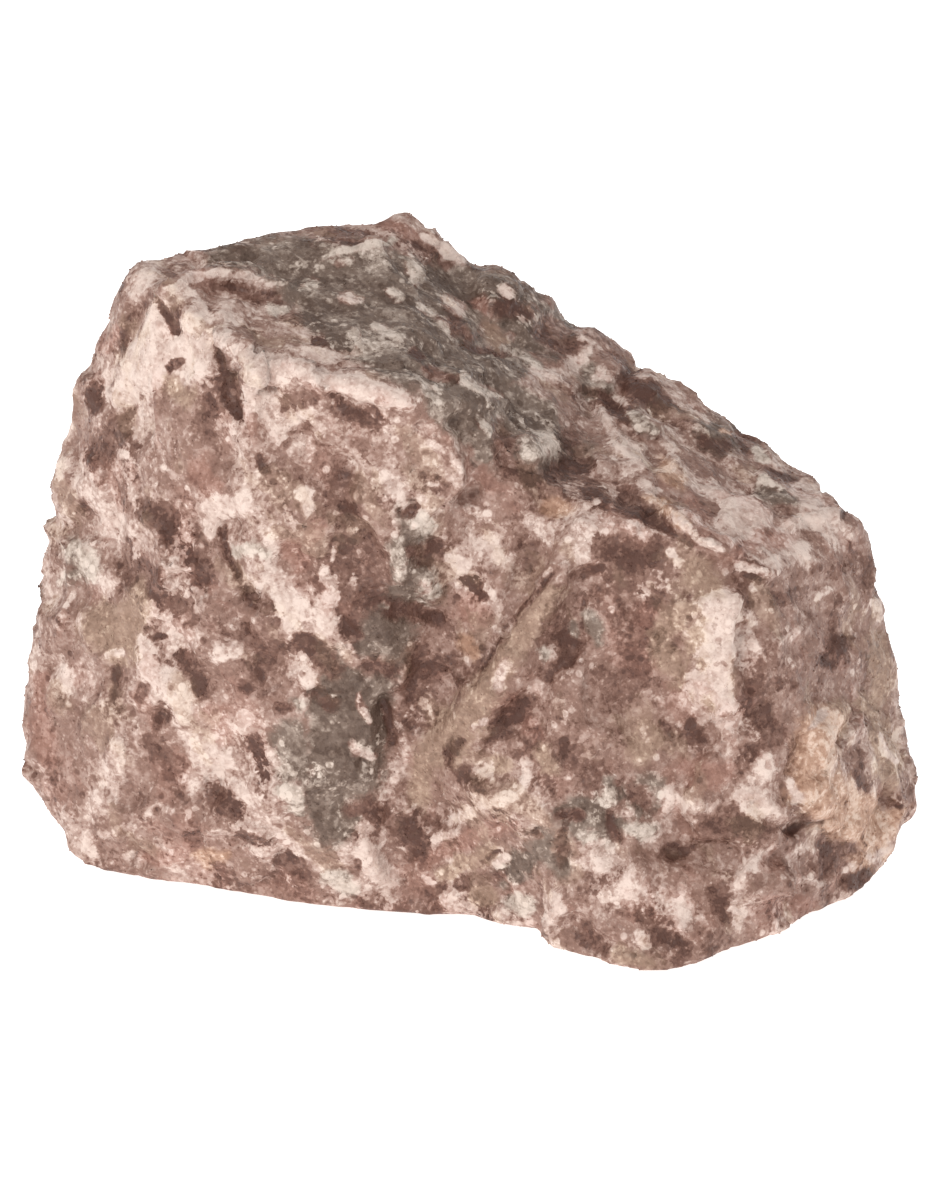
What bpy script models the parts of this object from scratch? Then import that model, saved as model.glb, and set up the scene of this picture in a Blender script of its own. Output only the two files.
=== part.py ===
"""A rough, unworked piece of red aventurine quartzite, about 75 mm long, as one solid.

The stone is modelled the way it broke. Three blocks with flat sides between named corners
grew together into one lump, with a valley down its front and a lobe low on the right. Its
whole skin is then broken into chips, and the ridges, cracks, plates and hollows that give
the stone its look are raised from the skin or sunk into it. It stands on one flat spot.

Lengths are in millimetres until the last step, which brings the stone to metres. The front
faces -Y, +X is to the right and +Z is up. The origin is on the ground, under the middle.
"""

import math
from typing import NamedTuple

import bmesh
import bpy
import numpy as np
from mathutils import Matrix, Vector, noise
from mathutils.bvhtree import BVHTree

NAME = "stone"
COLLECTION = "raw_aventurine"
MILLIMETRE = 0.001
TRIANGLES = 9300

# How the front corners are measured: as the eye finds them from this far above the ground.
LOOK_DOWN = math.radians(25.0)
SIGHT = Vector((0.0, math.cos(LOOK_DOWN), -math.sin(LOOK_DOWN)))
FAR = 100.0


def seen(across, rise, depth):
    """A corner by its place across and up the view of the front, and its depth from it."""
    height = (rise - depth * math.sin(LOOK_DOWN)) / math.cos(LOOK_DOWN)
    return Vector((across, depth, height))


# The blocks, each by its corners.
LEFT_BLOCK = {
    "top_left_tip": seen(-28.4, 48.7, 3.0),
    "tip_front": seen(-25.2, 46.2, -3.5),
    "vein_elbow": seen(-18.2, 40.6, -12.0),
    "vein_end": seen(-4.6, 37.8, -13.5),
    "crease": seen(1.5, 34.2, -13.5),
    "brow": seen(8.0, 30.0, -13.0),
    "peak": seen(-5.2, 53.4, 16.0),
    "peak_left": seen(-12.6, 51.2, 15.0),
    "peak_notch": seen(-0.5, 49.2, 18.0),
    "back_rim": seen(6.5, 45.8, 17.0),
    "back_rim_low": seen(14.0, 40.2, 14.0),
    "left_high": seen(-34.2, 36.8, 4.0),
    "left_middle": seen(-36.2, 20.0, 3.0),
    "left_most": seen(-37.5, 9.0, 0.0),
    "left_low": seen(-36.2, 3.0, -1.5),
    "left_foot": seen(-33.4, -1.8, -6.0),
    "front_foot_left": seen(-20.0, -2.8, -9.0),
    "front_foot": seen(-14.0, -5.0, -13.1),
    "front_foot_right": seen(-3.0, -6.0, -15.3),
    "front_ridge": seen(-17.0, 20.0, -15.5),
    "front_ridge_low": seen(-15.5, 4.0, -14.5),
    "front_middle": seen(-6.5, 16.0, -16.0),
    "front_middle_low": seen(-6.5, 2.0, -15.5),
    "back_left_high": Vector((-22.0, 16.0, 46.0)),
    "back_left_side": Vector((-31.0, 14.0, 22.0)),
    "back_left_low": Vector((-26.0, 15.0, 5.0)),
    "back_high": Vector((-6.0, 22.0, 42.0)),
    "back_middle": Vector((-8.0, 25.0, 22.0)),
    "back_low": Vector((-4.0, 20.0, 4.5)),
    "back_right_high": Vector((12.0, 20.0, 34.0)),
    "foot_front": Vector((-10.0, -9.0, -0.4)),
    "foot_back": Vector((-8.0, 8.0, -0.4)),
    "foot_front_inner": Vector((6.0, -9.0, -0.4)),
    "foot_back_inner": Vector((6.0, 8.0, -0.4)),
    "root_high": Vector((8.0, -9.0, 26.0)),
    "root_low": Vector((18.0, 4.0, 3.0)),
}
RIGHT_BLOCK = {
    "shoulder_left": seen(12.6, 37.0, 3.0),
    "shoulder_back": seen(15.2, 39.4, 12.0),
    "shoulder_middle": seen(23.6, 34.6, 9.0),
    "shoulder_right": seen(29.8, 30.5, 5.0),
    "shoulder_end": seen(32.8, 27.2, 0.0),
    "brow_left": seen(8.5, 29.8, -13.0),
    "brow_middle": seen(19.5, 26.0, -15.5),
    "brow_right": seen(25.5, 22.6, -15.0),
    "right_high": seen(34.8, 21.0, -1.0),
    "right_middle": seen(36.7, 11.0, -1.0),
    "right_most": seen(37.6, 4.8, -2.0),
    "right_low": seen(35.8, -1.0, -5.0),
    "right_foot": seen(34.2, -3.8, -10.5),
    "crest_top": seen(9.0, 27.3, -16.0),
    "crest_middle": seen(4.0, 15.5, -19.0),
    "crest_low": seen(1.0, 5.0, -20.0),
    "crest_foot": seen(0.5, -5.4, -16.5),
    "flank_foot": seen(5.2, -6.8, -18.0),
    "bulge_low": seen(9.0, -1.0, -23.0),
    "front_right": seen(24.0, 9.0, -19.0),
    "front_right_low": seen(26.0, 0.5, -19.5),
    "back_high": Vector((16.0, 19.0, 33.0)),
    "back_middle": Vector((16.0, 22.0, 18.0)),
    "back_side": Vector((32.0, 12.0, 17.0)),
    "back_low": Vector((27.0, 14.0, 4.5)),
    "back_left": Vector((-8.0, 22.0, 22.0)),
    "foot_front": Vector((12.0, -11.0, -0.4)),
    "foot_back": Vector((13.0, 6.0, -0.4)),
    "foot_front_inner": Vector((-4.0, -9.0, -0.4)),
    "foot_back_inner": Vector((-4.0, 8.0, -0.4)),
    "flank_root_high": Vector((-11.0, -8.0, 22.0)),
    "flank_root_low": Vector((-12.0, -6.0, 5.0)),
}
LOWER_LOBE = {
    "left": seen(6.6, -8.8, -22.4),
    "nose": seen(14.5, -10.9, -26.8),
    "right": seen(20.5, -9.3, -24.0),
    "far_right": seen(26.6, -7.4, -20.0),
    "foot_right": seen(33.6, -3.8, -10.5),
    "top_left": seen(6.5, -3.0, -22.0),
    "top": seen(14.0, -1.0, -24.0),
    "top_right": seen(26.0, -2.0, -20.5),
    "root_left": Vector((2.0, 0.0, 2.0)),
    "root_right": Vector((28.0, 0.0, 2.0)),
    "root_high": Vector((14.0, 0.0, 12.0)),
}
BLOCKS = {"left_block": LEFT_BLOCK, "right_block": RIGHT_BLOCK, "lower_lobe": LOWER_LOBE}

# The skin's faces before it is thinned, and how far its edges are worn.
SKIN_STEP = 0.75
EDGE_WEAR = 0.5
EDGE_WEAR_ROUNDS = 5


class Stroke(NamedTuple):
    """A ridge, or a crack if its height is below 0, along points across and up the front."""

    path: tuple
    width: float
    height: float


STROKES = {
    "long_ridge": Stroke(((9.5, 26.5), (5.7, 20.6), (2.8, 15.5), (-1.0, 10.5)), 1.5, 1.1),
    "short_ridge": Stroke(((4.4, 28.9), (3.0, 24.5), (0.6, 18.9), (-1.4, 14.5)), 1.5, 0.8),
    "groove_between_ridges": Stroke(((6.2, 24.5), (3.4, 20.0), (1.5, 17.0)), 0.9, -0.8),
    "groove_beside_ridge": Stroke(((9.9, 21.4), (8.2, 16.8), (6.1, 13.0), (1.1, 6.7)), 1.3, -1.4),
    "valley": Stroke(((-1.4, 23.9), (-2.6, 16.4), (-5.4, 8.0), (-5.8, -3.0)), 2.6, -1.4),
    "crack_by_vein": Stroke(((-20.8, 42.0), (-19.4, 37.0)), 1.1, -1.0),
    "crack_on_left": Stroke(((-20.4, 26.0), (-18.8, 21.0), (-19.4, 18.0), (-15.5, 13.0)), 1.2, -0.9),
    "vein": Stroke(((-19.4, 43.0), (-18.0, 40.1), (-11.5, 38.8), (-4.8, 37.7)), 1.3, 0.7),
    "top_lip": Stroke(((-25.0, 45.6), (-21.5, 47.2), (-15.0, 46.0)), 1.3, 0.6),
    "shoulder_ridge": Stroke(((13.2, 33.6), (14.6, 30.0), (19.0, 26.0), (22.0, 24.6)), 1.2, 0.7),
    "shoulder_crack": Stroke(((19.5, 23.2), (24.5, 21.8)), 0.9, -0.8),
    "dark_stripe": Stroke(((-6.9, 12.2), (-6.9, 5.5)), 1.0, -0.7),
}


class Plate(NamedTuple):
    """A plate of the skin that stands proud, by its outline across and up the front."""

    outline: tuple
    height: float


PALE_OUTLINE = ((16.0, 21.0), (23.2, 21.6), (22.4, 18.8), (23.0, 12.2), (19.6, 10.8), (18.4, 14.0))
OCHRE_OUTLINE = ((31.0, 12.4), (28.0, 10.0), (26.8, 5.0), (28.2, 1.4), (33.0, 1.3), (36.0, 8.0))
PLATES = {"pale_plate": Plate(PALE_OUTLINE, 0.9), "ochre_plate": Plate(OCHRE_OUTLINE, 0.9)}

# A plate's edge is this wide and this ragged, and plates are only on the side that faces front.
PLATE_EDGE = 0.5
RAGGED = 0.8
RAGGED_SIZE = 3.0
FACING_GAIN = 3.0


class Hollow(NamedTuple):
    """A round hollow, or a bump if its height is above 0."""

    centre: Vector
    radius: float
    height: float


HOLLOWS = {
    "left_waist": Hollow(seen(-35.8, 4.2, -1.0), 2.6, -0.8),
    "left_hip": Hollow(seen(-37.6, 9.4, 0.0), 4.0, 0.9),
    "peak_patch": Hollow(seen(-6.0, 53.0, 15.0), 4.0, 0.4),
    "brow_fill": Hollow(seen(0.0, 32.5, -13.0), 3.0, 0.9),
    "peak_notch": Hollow(seen(-1.0, 49.6, 17.0), 2.6, -0.7),
    "left_side": Hollow(Vector((-33.0, 14.0, 31.0)), 8.0, -1.2),
    "back_left": Hollow(Vector((-19.0, 20.0, 26.0)), 10.0, -2.2),
    "back_right": Hollow(Vector((14.0, 21.0, 15.0)), 9.0, -2.0),
    "back_knob": Hollow(Vector((1.0, 23.0, 33.0)), 7.0, 1.2),
    "back_shelf": Hollow(Vector((-10.0, 24.0, 14.0)), 6.0, 1.0),
    "right_side": Hollow(Vector((34.0, 6.0, 15.0)), 7.0, -1.0),
}


class Chips(NamedTuple):
    """A break into chips: their usual size, how far they lean, and the step between them."""

    size: float
    lean: float
    step: float


CHIPS = (Chips(14.0, 0.08, 0.38), Chips(6.0, 0.09, 0.24), Chips(3.0, 0.10, 0.1))
CHIP_WANDER = 0.28
CHIP_WANDER_RATE = 3.1

# The finer unevenness on the chips.
GRAIN = 0.35
GRAIN_SIZE = 8.0
GRAIN_FADE = 0.8
GRAIN_GAIN = 2.1
GRAIN_LEVELS = 4

# Places in the noise that give this stone and no other.
SEED = Vector((77.0, 51.1, 41.3))
LEAN_SEED = 37.0
STEP_SEED = 53.0
WANDER_SEEDS = (Vector((0.0, 0.0, 0.0)), Vector((31.7, 0.0, 11.3)), Vector((7.9, 57.1, 0.0)))

# The underside is calm close to the ground, so that the flat spot has no hole in it.
CALM_HEIGHT = 3.0
UNDERSIDE_FROM = 0.2
UNDERSIDE_FULL = 0.7

# Edges that turn more than this stay sharp.
SHARP_EDGE = math.radians(35.0)

# The stone's mean colour and its dullness.
COLOUR = (0.38, 0.26, 0.21, 1.0)
ROUGHNESS = 0.72


def add_object(name, mesh, collection):
    """Puts a mesh into a collection as an object."""
    piece = bpy.data.objects.new(name, mesh)
    collection.objects.link(piece)
    return piece


def evaluated_mesh(piece):
    """The mesh that an object's modifiers give."""
    graph = bpy.context.evaluated_depsgraph_get()
    return bpy.data.meshes.new_from_object(piece.evaluated_get(graph))


def block(name, corners, collection):
    """A closed block with flat sides between its corners."""
    shape = bmesh.new()
    for corner in corners.values():
        shape.verts.new(corner)
    result = bmesh.ops.convex_hull(shape, input=shape.verts)
    buried = [item for item in result["geom_interior"] if isinstance(item, bmesh.types.BMVert)]
    bmesh.ops.delete(shape, geom=buried, context="VERTS")
    bmesh.ops.recalc_face_normals(shape, faces=shape.faces)
    mesh = bpy.data.meshes.new(name)
    shape.to_mesh(mesh)
    shape.free()
    return add_object(name, mesh, collection)


def grown_together(collection):
    """The blocks as one closed skin of even small faces, its edges a little worn."""
    pieces = [block(name, corners, collection) for name, corners in BLOCKS.items()]
    lump = pieces[0]
    for other in pieces[1:]:
        union = lump.modifiers.new(other.name, "BOOLEAN")
        union.operation = "UNION"
        union.solver = "EXACT"
        union.object = other
    even = lump.modifiers.new("even", "REMESH")
    even.mode = "VOXEL"
    even.voxel_size = SKIN_STEP
    worn = lump.modifiers.new("worn", "SMOOTH")
    worn.factor = EDGE_WEAR
    worn.iterations = EDGE_WEAR_ROUNDS
    mesh = evaluated_mesh(lump)
    for piece in pieces:
        bpy.data.objects.remove(piece)
    return mesh


def wander(point):
    """A small step to one side that changes slowly from place to place."""
    return Vector([noise.noise(point + seed) for seed in WANDER_SEEDS])


def chip_height(point, chips):
    """Height at a point of a skin broken into chips, each with its own lean and level."""
    place = point / chips.size + SEED
    place += wander(place * CHIP_WANDER_RATE) * CHIP_WANDER
    centre = noise.voronoi(place)[1][0]
    slope = noise.cell_vector(centre * LEAN_SEED) * 2.0 - Vector((1.0, 1.0, 1.0))
    level = noise.cell(centre * STEP_SEED) - 0.5
    return chips.size * chips.lean * slope.dot(place - centre) + chips.step * level


def broken(point):
    """Height of the broken skin at a point: its chips, and a finer unevenness on them."""
    height = sum(chip_height(point, chips) for chips in CHIPS)
    return height + GRAIN * noise.fractal(point / GRAIN_SIZE + SEED, GRAIN_FADE, GRAIN_GAIN, GRAIN_LEVELS)


def gap_to_run(points, start, end):
    """Distance of every point from a straight run."""
    run = end - start
    share = np.clip((points - start) @ run / (run @ run), 0.0, 1.0)
    return np.linalg.norm(points - start - share[:, None] * run, axis=1)


def stroke_height(points, stroke, skin):
    """Height that a ridge or a crack adds at every point, highest on its path."""
    path = []
    for across, rise in stroke.path:
        found = skin.ray_cast(seen(across, rise, 0.0) - SIGHT * FAR, SIGHT)
        path.append(np.array(found[0]))
    gaps = [gap_to_run(points, start, end) for start, end in zip(path, path[1:])]
    return stroke.height * np.exp(-((np.min(gaps, axis=0) / stroke.width) ** 2))


def plate_height(points, plate):
    """Height that a plate adds at every point, by where it lies in the view of the front."""
    rise = points[:, 1] * math.sin(LOOK_DOWN) + points[:, 2] * math.cos(LOOK_DOWN)
    places = np.stack([points[:, 0], rise], axis=1)
    corners = [np.array(corner) for corner in plate.outline]
    inside = np.zeros(len(points), dtype=bool)
    gaps = []
    for start, end in zip(corners, corners[1:] + corners[:1]):
        gaps.append(gap_to_run(places, start, end))
        slope = (end[0] - start[0]) / (end[1] - start[1])
        crossed = (start[1] > rise) != (end[1] > rise)
        inside ^= crossed & (places[:, 0] < start[0] + (rise - start[1]) * slope)
    gap = np.min(gaps, axis=0)
    depth_inside = np.where(inside, gap, -gap)
    return plate.height * np.clip(0.5 + depth_inside / (2.0 * PLATE_EDGE), 0.0, 1.0)


def hollow_height(points, hollow):
    """Height that a hollow or a bump adds at every point, most at its centre."""
    gap = np.linalg.norm(points - np.array(hollow.centre), axis=1)
    return hollow.height * np.exp(-((gap / hollow.radius) ** 2))


def break_skin(mesh):
    """Moves the skin out and in by its chips, ridges, cracks, plates and hollows."""
    corners = [vertex.co for vertex in mesh.vertices]
    skin = BVHTree.FromPolygons(corners, [face.vertices for face in mesh.polygons])
    points = np.array(corners)
    normals = np.array([vertex.normal for vertex in mesh.vertices])
    height = np.array([broken(Vector(point)) for point in points])
    for stroke in STROKES.values():
        height += stroke_height(points, stroke, skin)
    for hollow in HOLLOWS.values():
        height += hollow_height(points, hollow)
    facing = np.clip(normals @ -np.array(SIGHT) * FACING_GAIN, 0.0, 1.0)
    ragged = np.array([wander(Vector(point) / RAGGED_SIZE) for point in points]) * RAGGED
    for plate in PLATES.values():
        height += facing * plate_height(points + ragged, plate)
    facing_down = (-normals[:, 2] - UNDERSIDE_FROM) / (UNDERSIDE_FULL - UNDERSIDE_FROM)
    underside = np.clip(facing_down, 0.0, 1.0)
    near_ground = 1.0 - np.clip(points[:, 2] / CALM_HEIGHT, 0.0, 1.0)
    height *= 1.0 - underside * near_ground
    points += normals * height[:, None]
    mesh.vertices.foreach_set("co", points.ravel())


def thinned(mesh, collection):
    """The same skin in few faces, most of them where it turns."""
    piece = add_object("skin", mesh, collection)
    thin = piece.modifiers.new("thin", "DECIMATE")
    thin.ratio = TRIANGLES / (2 * len(mesh.polygons))
    result = evaluated_mesh(piece)
    bpy.data.objects.remove(piece)
    return result


def stand_on_flat(mesh):
    """Cuts the foot off at the ground, which leaves the flat spot that the stone stands on."""
    shape = bmesh.new()
    shape.from_mesh(mesh)
    everything = list(shape.verts) + list(shape.edges) + list(shape.faces)
    bmesh.ops.bisect_plane(shape, geom=everything, plane_co=(0, 0, 0), plane_no=(0, 0, 1), clear_inner=True)
    rim = [edge for edge in shape.edges if edge.is_boundary]
    bmesh.ops.holes_fill(shape, edges=rim)
    bmesh.ops.triangulate(shape, faces=shape.faces)
    bmesh.ops.recalc_face_normals(shape, faces=shape.faces)
    shape.to_mesh(mesh)
    shape.free()


def centre_on_origin(mesh):
    """Moves the stone sideways, so that the origin is under the middle of it."""
    points = np.array([vertex.co for vertex in mesh.vertices])
    middle = (points.min(axis=0) + points.max(axis=0)) / 2.0
    mesh.transform(Matrix.Translation((-middle[0], -middle[1], 0.0)))


def aventurine():
    """Dull pinkish brown quartzite."""
    material = bpy.data.materials.new("aventurine")
    material.use_nodes = True
    shader = material.node_tree.nodes["Principled BSDF"]
    shader.inputs["Base Color"].default_value = COLOUR
    shader.inputs["Roughness"].default_value = ROUGHNESS
    shader.inputs["Metallic"].default_value = 0.0
    return material


def main():
    """Builds the stone."""
    for old in list(bpy.data.objects):
        bpy.data.objects.remove(old)
    collection = bpy.data.collections.new(COLLECTION)
    bpy.context.scene.collection.children.link(collection)
    mesh = grown_together(collection)
    break_skin(mesh)
    mesh = thinned(mesh, collection)
    stand_on_flat(mesh)
    centre_on_origin(mesh)
    mesh.transform(Matrix.Scale(MILLIMETRE, 4))
    mesh.name = NAME
    mesh.materials.append(aventurine())
    mesh.shade_smooth()
    mesh.set_sharp_from_angle(angle=SHARP_EDGE)
    add_object(NAME, mesh, collection)


main()
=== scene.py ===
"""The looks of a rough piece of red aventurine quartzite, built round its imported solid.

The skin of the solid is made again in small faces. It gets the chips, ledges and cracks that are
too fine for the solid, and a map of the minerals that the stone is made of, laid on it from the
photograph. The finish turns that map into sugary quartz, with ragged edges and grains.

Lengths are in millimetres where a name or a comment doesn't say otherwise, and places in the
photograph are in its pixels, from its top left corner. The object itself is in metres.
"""

import logging
import math
from dataclasses import dataclass
from enum import Enum

import bpy
import numpy as np
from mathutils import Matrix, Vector, noise
from mathutils.bvhtree import BVHTree
from mathutils.kdtree import KDTree

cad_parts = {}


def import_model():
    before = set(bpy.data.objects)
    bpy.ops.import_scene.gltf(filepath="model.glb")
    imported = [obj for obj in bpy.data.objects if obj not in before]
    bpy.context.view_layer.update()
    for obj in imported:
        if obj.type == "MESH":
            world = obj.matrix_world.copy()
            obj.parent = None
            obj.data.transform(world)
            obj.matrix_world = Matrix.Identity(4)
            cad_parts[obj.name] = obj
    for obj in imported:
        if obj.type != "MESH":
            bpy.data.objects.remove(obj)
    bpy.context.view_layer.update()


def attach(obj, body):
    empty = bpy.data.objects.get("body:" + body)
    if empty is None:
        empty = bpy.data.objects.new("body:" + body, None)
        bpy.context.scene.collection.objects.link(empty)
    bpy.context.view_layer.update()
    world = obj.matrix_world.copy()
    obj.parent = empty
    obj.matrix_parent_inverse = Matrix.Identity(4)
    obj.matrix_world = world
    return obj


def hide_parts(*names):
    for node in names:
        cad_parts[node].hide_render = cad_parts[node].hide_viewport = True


logging.basicConfig(level=logging.INFO, format="%(levelname)s %(message)s")
LOG = logging.getLogger("aventurine")

MILLIMETRE = 0.001
WHITE = (1.0, 1.0, 1.0, 1.0)

# The name of the number that says how far out each corner of the skin goes.
LEDGE = "ledge"

# A length that stands for nothing where one is divided by, and how far apart the noises that
# move places along x, y and z are read.
TINY = 1e-9
NOISE_SHIFT = 17.3


class Mineral(Enum):
    """What a patch of the stone is made of, by its look."""

    MAUVE = "mauve"
    PINK = "pink"
    GREY = "grey"
    MAROON = "maroon"
    OCHRE = "ochre"
    RUST = "rust"
    TAN = "tan"
    QUARTZ = "quartz"
    CREAM = "cream"
    VEIN = "vein"
    # Umber is a dark brown mineral, and also the painted shade laid in the cracks and grooves.
    UMBER = "umber"


class Hue(Enum):
    """A range of colours from the darkest to the palest, which several minerals can share."""

    RED = "red"
    GREY = "grey"
    TAN = "tan"
    OCHRE = "ochre"
    RUST = "rust"


class Trend(Enum):
    """Something that grows or fades over a whole area of the stone."""

    PALE = "pale"
    ROSY = "rosy"


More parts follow.
